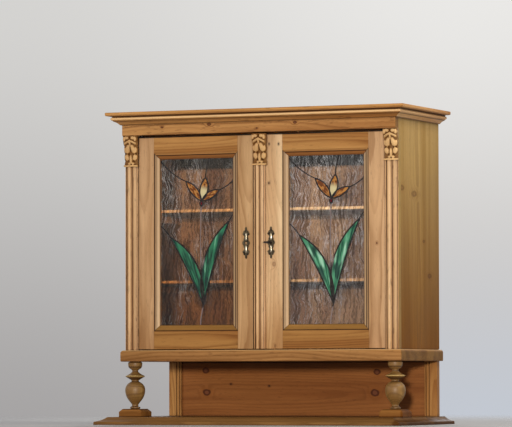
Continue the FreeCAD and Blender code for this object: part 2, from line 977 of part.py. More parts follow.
def escutcheon(name, x):
    """A pierced plate: pointed ends, two pairs of lobes, and a keyhole in a round middle."""
    half_wide = s.escutcheon_width / 2
    half_tall = s.escutcheon_height / 2
    lobe_shares = [
        (0.0, 1.0, 0.0),
        (0.24, 0.86, 0.15),
        (0.2, 0.78, 0.1),
        (0.72, 0.64, 0.25),
        (0.84, 0.5, 0.25),
        (0.42, 0.36, -0.15),
        (0.66, 0.15, 0.12),
        (0.66, -0.15, 0.28),
        (0.42, -0.36, 0.12),
        (0.84, -0.5, -0.15),
        (0.72, -0.64, 0.25),
        (0.2, -0.78, 0.25),
        (0.24, -0.86, 0.1),
        (0.0, -1.0, 0.15),
    ]
    right = [(half_wide * a, half_tall * b, -bow) for a, b, bow in lobe_shares]
    left = [
        (-half_wide * a, half_tall * b, -lobe_shares[index + 1][2])
        for index, (a, b, bow) in reversed(list(enumerate(lobe_shares[:-1])))
    ]
    outline = [right[0][:2]] + right[1:] + left[:-1]
    outline[0] = (*right[0][:2], left[-1][2])
    body = new_body(name)
    pad(body, sketch_in(body, "XZ_Plane", outline), s.escutcheon_thick)
    holes = sketch_in(body, "XZ_Plane")
    draw_circle(holes, zero, zero, s.keyhole_radius)
    slit = s.escutcheon_slit / 2
    slit_start_share = 0.3
    slit_stop_share = 0.62
    for way in (-1, 1):
        near = half_tall * slit_start_share * way
        far = half_tall * slit_stop_share * way
        bow = -soft_share * way
        draw(holes, [(-slit, near), (-slit, far, bow), (slit, far, bow), (slit, near, bow)])
    pocket(body, holes)
    slot = s.keyhole_slot / 2
    pocket(body, sketch_in(body, "XZ_Plane", [
        (-slot, -s.keyhole_drop),
        (slot, -s.keyhole_drop),
        (slot, zero),
        (-slot, zero),
    ]))
    return keep(place(body, x, front_y, key_z))


# Leaded light: a plain lily in coloured glass, its leads running out to the pane's edges
place_shares = {
    "bud": (0.06, 0.715),
    "heart": (0.065, 0.745),
    "root": (0.09, 0.12),
    "left tip": (-0.15, 0.865),
    "middle tip": (0.12, 0.885),
    "right tip": (0.31, 0.81),
    "left leaf": (-0.37, 0.53),
    "right leaf": (0.44, 0.62),
    "upper left edge": (-0.56, 1.03),
    "top edge": (0.2, 1.03),
    "upper right edge": (0.56, 0.9),
    "left edge": (-0.56, 0.62),
    "right edge": (0.56, 0.69),
    "foot edge": (0.05, -0.03),
}
lens_shares = {
    "petal_glass": [
        ("heart", "left tip", 0.16, -0.12),
        ("heart", "middle tip", 0.2, -0.16),
        ("heart", "right tip", 0.13, -0.17),
        ("bud", "heart", 0.3, -0.3),
    ],
    "leaf_glass": [
        ("root", "left leaf", 0.16, 0.015),
        ("root", "right leaf", -0.025, -0.155),
    ],
}
line_shares = [
    ("left tip", "upper left edge", -0.08),
    ("middle tip", "top edge", -0.06),
    ("right tip", "upper right edge", 0.08),
    ("bud", "root", 0.02),
    ("left leaf", "left edge", 0.05),
    ("right leaf", "right edge", -0.05),
    ("root", "foot edge", 0.04),
]
smallest_glass_share = 4


def arc_points(start, stop, bow):
    """Three points of an arc of the pattern, on the plane y = 0, about the pane's middle."""
    ends = [
        Vector(s.sight_width.value * across, 0, sight_low.value + s.sight_height.value * up)
        for across, up in (place_shares[start], place_shares[stop])
    ]
    along = ends[1] - ends[0]
    middle = (ends[0] + ends[1]) / 2 + Vector(along.z, 0, -along.x) * bow
    return ends[0], middle, ends[1]


def flat(wire):
    """A flat shape that faces the front."""
    face = Part.Face(wire)
    if face.normalAt(0, 0).y > 0:
        face.reverse()
    return face


def lead_strip(points, half_width):
    """A flat strip along an arc, with rounded ends."""
    circle = Part.Circle(*points)
    sides = []
    for shift in (half_width, -half_width):
        grow = 1 + shift / circle.Radius
        sides.append([circle.Center + (point - circle.Center) * grow for point in points])
    outer, inner = sides
    band = Part.Wire([
        Part.Arc(*outer).toShape(),
        Part.LineSegment(outer[2], inner[2]).toShape(),
        Part.Arc(*reversed(inner)).toShape(),
        Part.LineSegment(inner[0], outer[0]).toShape(),
    ])
    rings = [
        Part.Wire(Part.Circle(points[end], Vector(0, 1, 0), half_width).toShape())
        for end in (0, 2)
    ]
    return [flat(wire) for wire in (band, *rings)]


def lead_lines(lens_width, line_width):
    """All the leads as one flat shape, those round the coloured glass wider than the rest."""
    strips = []
    for lenses in lens_shares.values():
        for start, stop, *bows in lenses:
            for bow in bows:
                strips += lead_strip(arc_points(start, stop, bow), lens_width.value / 2)
    for start, stop, bow in line_shares:
        strips += lead_strip(arc_points(start, stop, bow), line_width.value / 2)
    return strips[0].fuse(strips[1:]).removeSplitter()


def pane_face(cover):
    """The pane as a flat shape, reaching past the sight edges by as much as that."""
    reach = s.sight_width.value / 2 + cover
    low = sight_low.value - cover
    high = sight_low.value + s.sight_height.value + cover
    corners = [(-reach, low), (reach, low), (reach, high), (-reach, high), (-reach, low)]
    return flat(Part.makePolygon([Vector(x, 0, z) for x, z in corners]))


def layer(faces, front, thick):
    """Flat shapes made solid, from a plane back by a thickness."""
    solids = Part.makeCompound([face.extrude(Vector(0, thick.value, 0)) for face in faces])
    solids.translate(Vector(0, front.value, 0))
    return solids


def leaded_light():
    """Leads of H section with the glass in their channels, for a pane at the middle of the part."""
    webs = lead_lines(s.came_web, s.came_line_web)
    flanges = lead_lines(s.came_width, s.came_line_width)
    glass_parts = {}
    coloured = []
    for part_name, lenses in lens_shares.items():
        faces = []
        for start, stop, first_bow, second_bow in lenses:
            faces.append(flat(Part.Wire([
                Part.Arc(*arc_points(start, stop, first_bow)).toShape(),
                Part.Arc(*reversed(arc_points(start, stop, second_bow))).toShape(),
            ])))
        coloured += faces
        glass_parts[part_name] = faces[0].fuse(faces[1:]).cut(webs).Faces
    whole_pane = pane_face(s.pane_cover.value)
    glass_parts["clear_glass"] = whole_pane.cut([webs, *coloured]).Faces

    # What is too small to be glass is solder
    smallest = smallest_glass_share * s.came_width.value ** 2
    solder = []
    for part_name, faces in glass_parts.items():
        solder += [face for face in faces if face.Area < smallest]
        kept = [face for face in faces if face.Area >= smallest]
        glass_parts[part_name] = layer(kept, pane_y, s.glass_thick)
    if solder:
        webs = webs.fuse(solder)
        flanges = flanges.fuse(solder)
    webs = webs.common(whole_pane).removeSplitter()
    flanges = flanges.common(pane_face(0)).removeSplitter()
    web = layer(webs.Faces, pane_y, s.glass_thick)
    front = layer(flanges.Faces, pane_y - s.came_flange, s.came_flange)
    back = layer(flanges.Faces, pane_y + s.glass_thick, s.came_flange)
    glass_parts["came"] = web.fuse([front, back]).removeSplitter()
    return {
        part_name: Part.makeCompound(shape.Solids) for part_name, shape in glass_parts.items()
    }


light = leaded_light()


def hang_door(side):
    hand, hinge_edge, free_edge, opening_outer, opening_inner = door_sides(side)
    stiles(side, rails(side, opening_outer, opening_inner, hand))
    centre_x = sight_centre * hand
    heights = (opening_low, opening_top)
    stick_frame(f"{side}_glazing_moulding", centre_x, *heights, opening_width, moulding_section())
    stick_frame(f"{side}_glazing_beads", centre_x, *heights, opening_width, bead_section())
    for part_name, shape in light.items():
        feature = doc.addObject("Part::Feature", f"{side}_{part_name}")
        feature.Shape = shape
        feature.Placement = Placement(Vector(centre_x.value, 0, 0), Rotation())
        keep(feature)
    group(f"{side}_pivots", [
        pivot_pin(f"{side}_pivot_low", pivot_x * hand, False),
        pivot_pin(f"{side}_pivot_top", pivot_x * hand, True),
    ])


for side in ("left", "right"):
    hang_door(side)
escutcheon("left_escutcheon", -s.left_keyhole)
escutcheon("right_escutcheon", s.right_keyhole)

strip_low_x = s.strip_offset - s.strip_width / 2
strip_high_x = s.strip_offset + s.strip_width / 2
strip_section = reeded(
    strip_low_x, strip_high_x, front_y - s.strip_thick, front_y,
    s.strip_reed_margin, s.strip_reed_width, s.reed_depth,
)
keep(post("meeting_strip", strip_section, door_low, door_top - s.capital_height))

# Rim lock behind the right door, its bolt, and the key, left turned with its bow and bit level
case_low_x = -(s.meeting_offset - s.meeting_gap / 2)
case_high_x = case_low_x + s.lock_back
case_z = (key_z - s.lock_below, key_z - s.lock_below + s.lock_height)
case_y = (door_back_y, door_back_y + s.lock_thick)
case = block("lock_case_block", (case_low_x, case_high_x), case_y, case_z)
bolt_y = door_back_y + s.lock_wall
bolt_z = key_z + s.lock_bolt_rise
play = s.lock_bolt_play
channel = block(
    "lock_channel",
    (case_low_x - s.overrun, case_low_x + s.lock_bolt_length + play),
    (bolt_y - play, bolt_y + s.lock_bolt_thick + play),
    (bolt_z - play, bolt_z + s.lock_bolt_height + play),
)
turn_back = Rotation(Vector(1, 0, 0), -90)
chamber = rod(
    "lock_chamber", s.lock_chamber, s.lock_chamber_depth, s.right_keyhole, bolt_y, key_z, turn_back
)
key_hole = rod(
    "lock_key_hole", s.key_radius + s.key_play, s.lock_wall + s.overrun, s.right_keyhole,
    door_back_y - s.overrun, key_z, turn_back,
)
half_slot = s.keyhole_slot / 2
case_slot = block(
    "lock_key_slot",
    (s.right_keyhole - half_slot, s.right_keyhole + half_slot),
    (door_back_y - s.overrun, bolt_y),
    (key_z - s.keyhole_drop, key_z),
)
keep(carve("lock_case", case, channel, chamber, key_hole, case_slot))
keep(block(
    "lock_bolt",
    (case_low_x, case_low_x + s.lock_bolt_length),
    (bolt_y, bolt_y + s.lock_bolt_thick),
    (bolt_z, bolt_z + s.lock_bolt_height),
))
left_free_edge = -(s.meeting_offset + s.meeting_gap / 2)
strike_middle = bolt_z + s.lock_bolt_height / 2
keep(block(
    "strike_plate",
    (left_free_edge - s.strike_width, left_free_edge),
    (door_back_y, door_back_y + s.strike_thick),
    (strike_middle - s.strike_height / 2, strike_middle + s.strike_height / 2),
))

bow_y = front_y - s.key_bow
shank_back = bolt_y + s.lock_chamber_depth - s.key_play
shank_front = bow_y + s.key_bow_hole
key_shank = rod(
    "key_shank", s.key_radius, shank_back - shank_front, s.right_keyhole, shank_front, key_z, turn_back
)
bow_low = key_z - s.key_bow_thick / 2
bow = carve(
    "key_bow_ring",
    rod("key_bow_disc", s.key_bow_radius, s.key_bow_thick, s.right_keyhole, bow_y, bow_low),
    rod(
        "key_bow_opening", s.key_bow_hole, s.key_bow_thick + s.overrun * 2, s.right_keyhole, bow_y,
        bow_low - s.overrun,
    ),
)
collar_y = front_y - s.key_collar_gap - s.key_collar_length
key_collar = rod(
    "key_collar", s.key_collar_radius, s.key_collar_length, s.right_keyhole, collar_y, key_z, turn_back
)
bit_back = shank_back - s.key_play
key_bit = block(
    "key_bit",
    (s.right_keyhole, s.right_keyhole + s.key_bit_reach),
    (bit_back - s.key_bit_length, bit_back),
    (key_z - s.key_bit_thick / 2, key_z + s.key_bit_thick / 2),
)
keep(join("key", key_shank, bow, key_collar, key_bit))

# Sliding bolts behind the left door, their straps and their keepers
bolt_x = left_free_edge - s.bolt_from_edge
slide_y = door_back_y + s.strap_wall + s.bolt_radius


def strap(name, z_middle):
    """A bridge over the bolt, flat on the stile."""
    half_wide = s.strap_width / 2
    half_high = s.strap_height / 2
    thick = s.strap_wall * 2 + s.bolt_radius * 2
    body = block(
        f"{name}_block", (bolt_x - half_wide, bolt_x + half_wide), (door_back_y, door_back_y + thick),
        (z_middle - half_high, z_middle + half_high),
    )
    hole = rod(
        f"{name}_hole", s.bolt_radius + s.bolt_play, s.strap_height + s.overrun * 2, bolt_x, slide_y,
        z_middle - half_high - s.overrun,
    )
    return carve(name, body, hole)


straps = []
keepers = []
for name, end_z, away in (("upper", door_top, -1), ("lower", door_low, 1)):
    tip = end_z + s.bolt_end_gap * away
    tail = tip + s.bolt_length * away
    low, high = span(tip, tail)
    middle = (low + high) / 2
    bar = rod(f"{name}_bolt_bar", s.bolt_radius, s.bolt_length, bolt_x, slide_y, low)
    reach = s.bolt_knob_length + s.bolt_radius
    knob = rod(f"{name}_bolt_knob", s.bolt_knob, reach, bolt_x, slide_y, middle, turn_back)
    keep(join(f"{name}_bolt", bar, knob))
    for place_name, way in (("near", -1), ("far", 1)):
        straps.append(strap(f"{name}_{place_name}_strap", middle + s.strap_spread / 2 * way))
group("bolt_straps", straps)


def drilled(name, board, *holes):
    return keep(carve(name, board, *holes))


def board_hole(name, radius, x, y, low, high):
    return rod(name, radius, high - low, x, y, low)


# Plates for the pivots, keepers for the bolts, and the two boards that take them
plate_pockets = {"low": [], "top": []}
plates = []
for side, hand in (("left", -1), ("right", 1)):
    for level, low, high in (
        ("low", floor_z - s.plate_thick, floor_z),
        ("top", head_z, head_z + s.plate_thick),
    ):
        x_range = span(
            (half_body - s.pilaster_width) * hand,
            (half_body - s.pilaster_width - s.plate_length) * hand,
        )
        y_range = (pivot_y - s.plate_width / 2, pivot_y + s.plate_width / 2)
        if level == "top":
            y_range = (front_y, front_y + s.plate_width)
        plate = block(f"{side}_{level}_plate_blank", x_range, y_range, (low, high))
        hole = board_hole(
            f"{side}_{level}_plate_hole", s.pivot_radius + s.pivot_play, pivot_x * hand, pivot_y,
            low - s.plate_thick, high + s.plate_thick,
        )
        plates.append(carve(f"{side}_{level}_plate", plate, hole))
        recess = block(f"{side}_{level}_recess", x_range, y_range, (low, high))
        deep = (floor_z - s.pivot_end - s.pivot_play * 2, floor_z)
        if level == "top":
            deep = (head_z, head_z + s.pivot_end + s.pivot_play * 2)
        relief = board_hole(
            f"{side}_{level}_relief", s.pivot_radius + s.bolt_play, pivot_x * hand, pivot_y, *deep
        )
        plate_pockets[level] += [recess, relief]
group("pivot_plates", plates)

keeper_half = s.keeper_width / 2
bolt_hole_radius = s.bolt_radius + s.bolt_play
for level, low, high, hole_low, hole_high in (
    ("low", floor_z - s.keeper_thick, floor_z, floor_z - s.socket_depth, floor_z),
    ("top", head_z, head_z + s.keeper_thick, head_z, head_z + s.socket_depth),
):
    x_range = (bolt_x - keeper_half, bolt_x + keeper_half)
    y_range = (slide_y - keeper_half / 2, slide_y + keeper_half / 2)
    blank = block(f"{level}_keeper_blank", x_range, y_range, (low, high))
    hole = board_hole(
        f"{level}_keeper_hole", bolt_hole_radius, bolt_x, slide_y, low - s.keeper_thick,
        high + s.keeper_thick,
    )
    keepers.append(carve(f"{level}_keeper", blank, hole))
    recess = block(f"{level}_keeper_recess", x_range, y_range, (low, high))
    socket = board_hole(f"{level}_keeper_socket", bolt_hole_radius, bolt_x, slide_y, hole_low, hole_high)
    plate_pockets[level] += [recess, socket]
group("bolt_keepers", keepers)

drilled("bottom_board", bottom_board, *plate_pockets["low"])
inside_x = (-half_inside, half_inside)
top_blank = block("top_board_blank", inside_x, (front_y, inner_back_y), (head_z, head_top))
notches = [
    block(
        f"top_board_{side}_notch",
        span(half_body * hand, (half_body - s.pilaster_width) * hand),
        (front_y, door_back_y),
        (head_z, head_top),
    )
    for side, hand in (("left", -1), ("right", 1))
]
drilled("top_board", top_blank, *notches, *plate_pockets["top"])

doc.recompute()

# Every object has to be sound before anything is written
faults = [item.Name for item in doc.Objects if "Invalid" in item.State or "Error" in item.State]
for name, item in nodes.items():
    shape = item.Shape
    if shape.isNull() or not shape.isValid() or not shape.Solids:
        faults.append(name)
if faults:
    raise RuntimeError("not sound: " + ", ".join(faults))

os.makedirs("parts", exist_ok=True)
for name, item in nodes.items():
    item.Shape.exportStep(f"parts/{name}.step")
print(len(nodes), "sub-parts written")
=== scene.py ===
import math
import bmesh
import bpy
from mathutils import Euler, Matrix, Vector


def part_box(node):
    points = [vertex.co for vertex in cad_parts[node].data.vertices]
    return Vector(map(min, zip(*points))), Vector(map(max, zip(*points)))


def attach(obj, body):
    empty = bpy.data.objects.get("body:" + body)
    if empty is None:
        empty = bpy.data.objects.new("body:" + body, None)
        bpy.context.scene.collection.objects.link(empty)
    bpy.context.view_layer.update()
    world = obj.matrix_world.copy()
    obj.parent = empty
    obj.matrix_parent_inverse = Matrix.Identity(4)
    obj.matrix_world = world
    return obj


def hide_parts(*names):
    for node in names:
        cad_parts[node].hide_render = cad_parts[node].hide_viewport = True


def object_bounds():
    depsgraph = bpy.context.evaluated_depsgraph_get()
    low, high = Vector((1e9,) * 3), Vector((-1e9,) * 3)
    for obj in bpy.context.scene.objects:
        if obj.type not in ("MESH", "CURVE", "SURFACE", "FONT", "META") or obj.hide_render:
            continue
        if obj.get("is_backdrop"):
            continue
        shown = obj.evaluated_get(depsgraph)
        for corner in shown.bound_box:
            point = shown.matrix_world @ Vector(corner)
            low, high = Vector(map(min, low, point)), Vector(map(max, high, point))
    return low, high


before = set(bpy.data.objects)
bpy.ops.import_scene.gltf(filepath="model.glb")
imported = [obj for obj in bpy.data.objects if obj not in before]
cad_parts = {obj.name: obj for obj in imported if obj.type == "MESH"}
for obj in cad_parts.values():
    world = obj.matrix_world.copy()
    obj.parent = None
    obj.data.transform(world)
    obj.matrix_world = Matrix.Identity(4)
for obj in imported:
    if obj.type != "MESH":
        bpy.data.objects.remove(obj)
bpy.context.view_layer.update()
scene = bpy.context.scene
scene.view_settings.view_transform = "Standard"
print("frame loaded:", len(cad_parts), "pieces of the cabinet")

# Everything is in metres: X across the front, Y into the cabinet, Z up
mm = 0.001
softEdge = 1  # how far a painted edge fades to each side, in mm


def tint(red, green, blue):
    # A colour as a picture shows it, from 0 to 255, made linear
    return tuple(pow(part / 255, 2.2) for part in (red, green, blue)) + (1.0,)


# Camera
viewpoint = {
    "place": (5.3057, -12.4062, 0.1602),
    "turn": 23.42,
    "tilt": 2.473,
    "roll": -0.11,
    "lens": 269.3,
    "reach": 80.0,
}
lens = bpy.data.cameras.new("photoCamera")
lens.lens = viewpoint["lens"]
lens.clip_end = viewpoint["reach"]
camera = bpy.data.objects.new("photoCamera", lens)
scene.collection.objects.link(camera)
camera.matrix_world = (
    Matrix.Translation(viewpoint["place"])
    @ Matrix.Rotation(math.radians(viewpoint["turn"]), 4, "Z")
    @ Matrix.Rotation(math.radians(90 + viewpoint["tilt"]), 4, "X")
    @ Matrix.Rotation(math.radians(viewpoint["roll"]), 4, "Z")
)
scene.camera = camera


# Short ways to lay out shader nodes
def feed(tree, made, feeds):
    for label, value in feeds.items():
        if isinstance(value, bpy.types.NodeSocket):
            tree.links.new(value, made.inputs[label])
        else:
            made.inputs[label].default_value = value
    return made


def put(tree, kind, feeds=None, **settings):
    made = tree.nodes.new("ShaderNode" + kind)
    for label, value in settings.items():
        setattr(made, label, value)
    return feed(tree, made, feeds or {})


def calc(tree, operation, *terms, clamp=False):
    made = put(tree, "Math", dict(enumerate(terms)), operation=operation, use_clamp=clamp)
    return made.outputs[0]


def vector(tree, operation, *terms):
    made = put(tree, "VectorMath", dict(enumerate(terms)), operation=operation)
    return made.outputs["Value" if operation in ("LENGTH", "DOT_PRODUCT") else "Vector"]


def blend(tree, share, first, second, mode="MIX"):
    feeds = {0: share, 6: first, 7: second}
    return put(tree, "Mix", feeds, data_type="RGBA", blend_type=mode).outputs[2]


def span(tree, value, low, high, start=0.0, end=1.0):
    feeds = {"Value": value, "From Min": low, "From Max": high, "To Min": start, "To Max": end}
    return put(tree, "MapRange", feeds, interpolation_type="SMOOTHSTEP").outputs[0]


def cloud(tree, place, stretch, detail=2.0, roughness=0.5):
    scaled = vector(tree, "MULTIPLY", place, stretch)
    feeds = {"Vector": scaled, "Scale": 1.0, "Detail": detail, "Roughness": roughness}
    return put(tree, "TexNoise", feeds)


def fall(tree, value, low, high):
    # 1 up to low, and 0 from high on
    return span(tree, value, low, high, 1.0, 0.0)


def split(tree, place):
    return put(tree, "SeparateXYZ", {0: place}).outputs


def times(tree, product, *factors):
    for factor in factors:
        product = calc(tree, "MULTIPLY", product, factor)
    return product


def gap(tree, value, at):
    return calc(tree, "ABSOLUTE", calc(tree, "SUBTRACT", value, at))


def stripe(tree, away, reach, strength):
    # A painted line, full in its middle and nothing past its reach in mm
    return span(tree, away, 0.4 * reach * mm, reach * mm, strength, 0.0)


def wander(tree, place, stretch, detail, reach):
    # A place that a soft cloud pushes to and fro
    soft = cloud(tree, place, stretch, detail).outputs["Color"]
    push = vector(tree, "MULTIPLY", vector(tree, "SUBTRACT", soft, (0.5, 0.5, 0.5)), reach)
    return vector(tree, "ADD", place, push)


def newGroup(name, inputs, outputs):
    tree = bpy.data.node_groups.new(name, "ShaderNodeTree")
    for way, sockets in (("INPUT", inputs), ("OUTPUT", outputs)):
        for label, kind in sockets:
            tree.interface.new_socket(name=label, in_out=way, socket_type="NodeSocket" + kind)
    return tree, tree.nodes.new("NodeGroupInput").outputs, tree.nodes.new("NodeGroupOutput").inputs


def useGroup(tree, group, feeds):
    made = tree.nodes.new("ShaderNodeGroup")
    made.node_tree = group
    return feed(tree, made, feeds).outputs


def newMaterial(name):
    material = bpy.data.materials.new(name)
    material.use_nodes = True
    tree = material.node_tree
    return material, tree, tree.nodes["Principled BSDF"], put(tree, "TexCoord").outputs["Object"]


# Effects that several materials share.
# How pine grows: each cloud's scale along and across the grain, per metre, and what it does
growth = {
    "drift": (1.3, 2.2, 2.2), "driftReach": (0, 0.07, 0.07),
    "jitter": (6, 45, 45), "jitterReach": 0.0035,
    "lateStarts": (0.3, 0.85), "lateEnds": (0.92, 1.0), "lateLeast": 0.35,
    "streak": (0.9, 19, 19), "streakRange": (0.34, 0.66),
    "blotch": (3.5, 9, 9), "blotchShade": 0.34,
    "fibre": (28, 620, 620), "fibreShade": 0.3,
    "dash": (42, 340, 340), "dashRange": (0.64, 0.74), "dashShade": -0.22,
    "height": {"late": 0.55, "fibre": 0.7},
    "roughness": {"plain": 0.36, "late": -0.07, "blotch": 0.22},
}


def makePineGrain():
    # X runs along the grain, and the tree's centre line is the X axis
    tree, given, result = newGroup(
        "pineGrain",
        [("Vector", "Vector"), ("Bend", "Float"), ("Ring", "Float"), ("Contrast", "Float"),
         ("Light", "Color"), ("Dark", "Color"), ("Line", "Color")],
        [("Color", "Color"), ("Height", "Float"), ("Roughness", "Float")],
    )
    place = given["Vector"]
    across = wander(tree, place, growth["drift"], 1.0, growth["driftReach"])
    across = vector(tree, "MULTIPLY", across, (0, 1, 1))
    jitter = cloud(tree, place, growth["jitter"]).outputs["Fac"]
    distance = calc(tree, "MULTIPLY_ADD", jitter, growth["jitterReach"], vector(tree, "LENGTH", across))
    turns = calc(tree, "DIVIDE", calc(tree, "ADD", distance, given["Bend"]), given["Ring"])
    part, year = calc(tree, "FRACT", turns), calc(tree, "FLOOR", turns)
    age = put(tree, "TexWhiteNoise", {"W": year}, noise_dimensions="1D").outputs["Value"]
    starts = span(tree, part, *growth["lateStarts"])
    ends = fall(tree, part, *growth["lateEnds"])
    least = growth["lateLeast"]
    late = times(tree, starts, ends, calc(tree, "MULTIPLY_ADD", age, 1 - least, least))
    line = times(tree, late, given["Contrast"])
    streak = cloud(tree, place, growth["streak"], 3.0).outputs["Fac"]
    blotch = cloud(tree, place, growth["blotch"], 3.0).outputs["Fac"]
    fibre = cloud(tree, place, growth["fibre"], 2.0, 0.6).outputs["Fac"]
    dash = cloud(tree, place, growth["dash"], 1.0).outputs["Fac"]
    colour = blend(tree, span(tree, streak, *growth["streakRange"]), given["Light"], given["Dark"])
    colour = blend(tree, line, colour, given["Line"])
    blotchShade, fibreShade = growth["blotchShade"], growth["fibreShade"]
    shade = calc(tree, "MULTIPLY_ADD", blotch, blotchShade, 1 - blotchShade / 2)
    shade = calc(tree, "ADD", shade, calc(tree, "MULTIPLY_ADD", fibre, fibreShade, -fibreShade / 2))
    dashes = span(tree, dash, *growth["dashRange"])
    shade = calc(tree, "MULTIPLY_ADD", dashes, growth["dashShade"], shade)
    toned = put(tree, "HueSaturation", {"Value": shade, "Color": colour}).outputs[0]
    raised, dull = growth["height"], growth["roughness"]
    height = times(tree, fibre, raised["fibre"])
    height = calc(tree, "MULTIPLY_ADD", late, raised["late"], height)
    gloss = calc(tree, "MULTIPLY_ADD", late, dull["late"], dull["plain"])
    gloss = calc(tree, "MULTIPLY_ADD", blotch, dull["blotch"], gloss)
    tree.links.new(toned, result["Color"])
    tree.links.new(height, result["Height"])
    tree.links.new(gloss, result["Roughness"])
    return tree


# A knot's masks, by how far out a point lies, where 1 is the knot's edge
knotReach = {
    "core": (0.7, 1.0), "rimStarts": (0.4, 0.85), "rimEnds": (1.0, 1.35), "halo": (0.9, 3.2),
    "bend": (0.0, 3.6), "cloud": (70, 70, 70), "uneven": 0.5,
}


def makeKnotSpot():
    tree, given, result = newGroup(
        "knotSpot",
        [("Vector", "Vector"), ("Place", "Vector"), ("Scale", "Vector"), ("Size", "Float")],
        [("Core", "Float"), ("Rim", "Float"), ("Halo", "Float"), ("Bend", "Float")],
    )
    offset = vector(tree, "SUBTRACT", given["Vector"], given["Place"])
    far = vector(tree, "LENGTH", vector(tree, "MULTIPLY", offset, given["Scale"]))
    ragged = cloud(tree, given["Vector"], knotReach["cloud"], 1.0).outputs["Fac"]
    uneven = knotReach["uneven"]
    far = calc(tree, "MULTIPLY_ADD", ragged, uneven, calc(tree, "SUBTRACT", far, uneven / 2))
    starts = span(tree, far, *knotReach["rimStarts"])
    masks = {
        "Core": fall(tree, far, *knotReach["core"]),
        "Rim": times(tree, starts, fall(tree, far, *knotReach["rimEnds"])),
        "Halo": fall(tree, far, *knotReach["halo"]),
        "Bend": times(tree, fall(tree, far, *knotReach["bend"]), given["Size"]),
    }
    for label, value in masks.items():
        tree.links.new(value, result[label])
    return tree


pineGrain = makePineGrain()
knotSpot = makeKnotSpot()

# How each kind of pine looks: its light growth, dark growth and line of late wood, the width of a ring
# in mm, how much the lines show, and its gloss where pineFinish doesn't fit
pineTones = {
    "stile": {"wood": ((203, 160, 117), (172, 130, 89), (136, 92, 54)), "ring": 4.6, "contrast": 0.5},
    "stileRight": {"wood": ((204, 161, 118), (173, 131, 90), (137, 93, 55)),
                   "ring": 4.6, "contrast": 0.5},
    "inner": {"wood": ((209, 168, 122), (177, 135, 92), (140, 95, 56)), "ring": 4.6, "contrast": 0.5},
    "pale": {"wood": ((232, 196, 151), (205, 163, 119), (166, 120, 77)), "ring": 4.6, "contrast": 0.45},
    "reeded": {"wood": ((214, 168, 121), (182, 136, 92), (142, 98, 61)), "ring": 4.6, "contrast": 0.4},
    "strip": {"wood": ((222, 176, 131), (188, 143, 99), (148, 103, 66)), "ring": 4.6, "contrast": 0.4},
    "rail": {"wood": ((185, 134, 77), (155, 104, 54), (118, 69, 31)), "ring": 5.4, "contrast": 0.6},
    "railLow": {"wood": ((165, 117, 64), (138, 89, 44), (105, 62, 26)), "ring": 5.4, "contrast": 0.6},
    "sill": {"wood": ((173, 124, 75), (141, 96, 56), (101, 62, 30)),
             "ring": 5.4, "contrast": 0.6, "gloss": 0.06},
    "cornice": {"wood": ((191, 138, 82), (159, 107, 59), (110, 65, 30)), "ring": 5.0, "contrast": 0.6},
    # side: the right side's wood, tinted yellow-olive for the light on that side, painted light
    "side": {"wood": ((194, 159, 100), (169, 133, 76), (134, 99, 51)),
             "ring": 7.5, "contrast": 0.4, "gloss": 0.04},
    "sideLeft": {"wood": ((190, 148, 100), (156, 114, 70), (122, 82, 44)),
                 "ring": 7.5, "contrast": 0.4, "gloss": 0.04},
    # corniceSide: the cornice's wood made paler on its side pieces for their light, painted light
    "corniceSide": {"wood": ((252, 204, 144), (212, 157, 101), (153, 106, 59)),
                    "ring": 5.0, "contrast": 0.6},
    "turned": {"wood": ((164, 126, 72), (128, 93, 50), (92, 62, 30)),
               "ring": 5.0, "contrast": 0.5, "gloss": 0.4},
    "back": {"wood": ((182, 138, 98), (130, 90, 62), (92, 60, 38)), "ring": 8.5, "contrast": 0.8},
    "niche": {"wood": ((148, 92, 48), (126, 74, 36), (95, 53, 25)), "ring": 8.0, "contrast": 0.3},
    "shelf": {"wood": ((226, 180, 128), (200, 152, 102), (160, 106, 62)), "ring": 6.0, "contrast": 0.4},
    "plinth": {"wood": ((156, 106, 56), (124, 80, 40), (92, 56, 26)),
               "ring": 5.0, "contrast": 0.5, "gloss": 0.04},
    "worktop": {"wood": ((131, 94, 55), (101, 70, 38), (74, 47, 22)),
                "ring": 6.0, "contrast": 0.5, "gloss": 0.05},
    "carvedPale": {"wood": ((228, 182, 118), (198, 150, 92), (158, 112, 60)),
                   "ring": 4.5, "contrast": 0.25},
    "carved": {"wood": ((214, 164, 100), (184, 132, 75), (146, 98, 48)), "ring": 4.5, "contrast": 0.25},
    "bead": {"wood": ((187, 157, 123), (152, 122, 89), (119, 89, 57)), "ring": 4.5, "contrast": 0.4},
}
pineFinish = {"bump": 0.35, "bumpDepth": 0.0008, "gloss": 0.16, "coat": 0.02, "coatRoughness": 0.3}
grainTurn = {"x": (0, 0, 0), "z": (0, math.pi / 2, 0), "y": (0, 0, -math.pi / 2)}
faceAxis = {"x": Vector((1, 0, 0)), "y": Vector((0, 1, 0)), "z": Vector((0, 0, 1))}

# Old polish and painted shade in the corners, where ambient occlusion finds them closed, and dents
shadeAndWaxColour = (56, 29, 11)
shadeAndWax = {"reach": 8, "share": 0.7, "openness": (0.38, 0.9), "samples": 6}
dent = {"stretch": (26, 150, 150), "range": (0.6, 0.68)}

# Each part of a knot or nail with its colour and how strongly it shows
knotLook = {"Halo": ((136, 78, 32), 0.3), "Core": ((106, 62, 42), 0.85), "Rim": ((62, 29, 17), 0.8)}
nailLook = {"Halo": ((62, 29, 17), 0.5), "Core": ((28, 20, 16), 1.0)}
nailDepth, dentColour, knotBend = -4.0, (62, 29, 17), 1.4

# The hollows of a carving, with old dirt and painted shade, and its high places, with wear and a
# painted highlight
carvingLook = {
    "shadeAndDirt": (96, 58, 24), "shadeAndDirtShare": 0.8,
    "worn": (240, 200, 146), "highlightAndWearShare": 0.35, "highlightAndWearTo": 0.25,
}

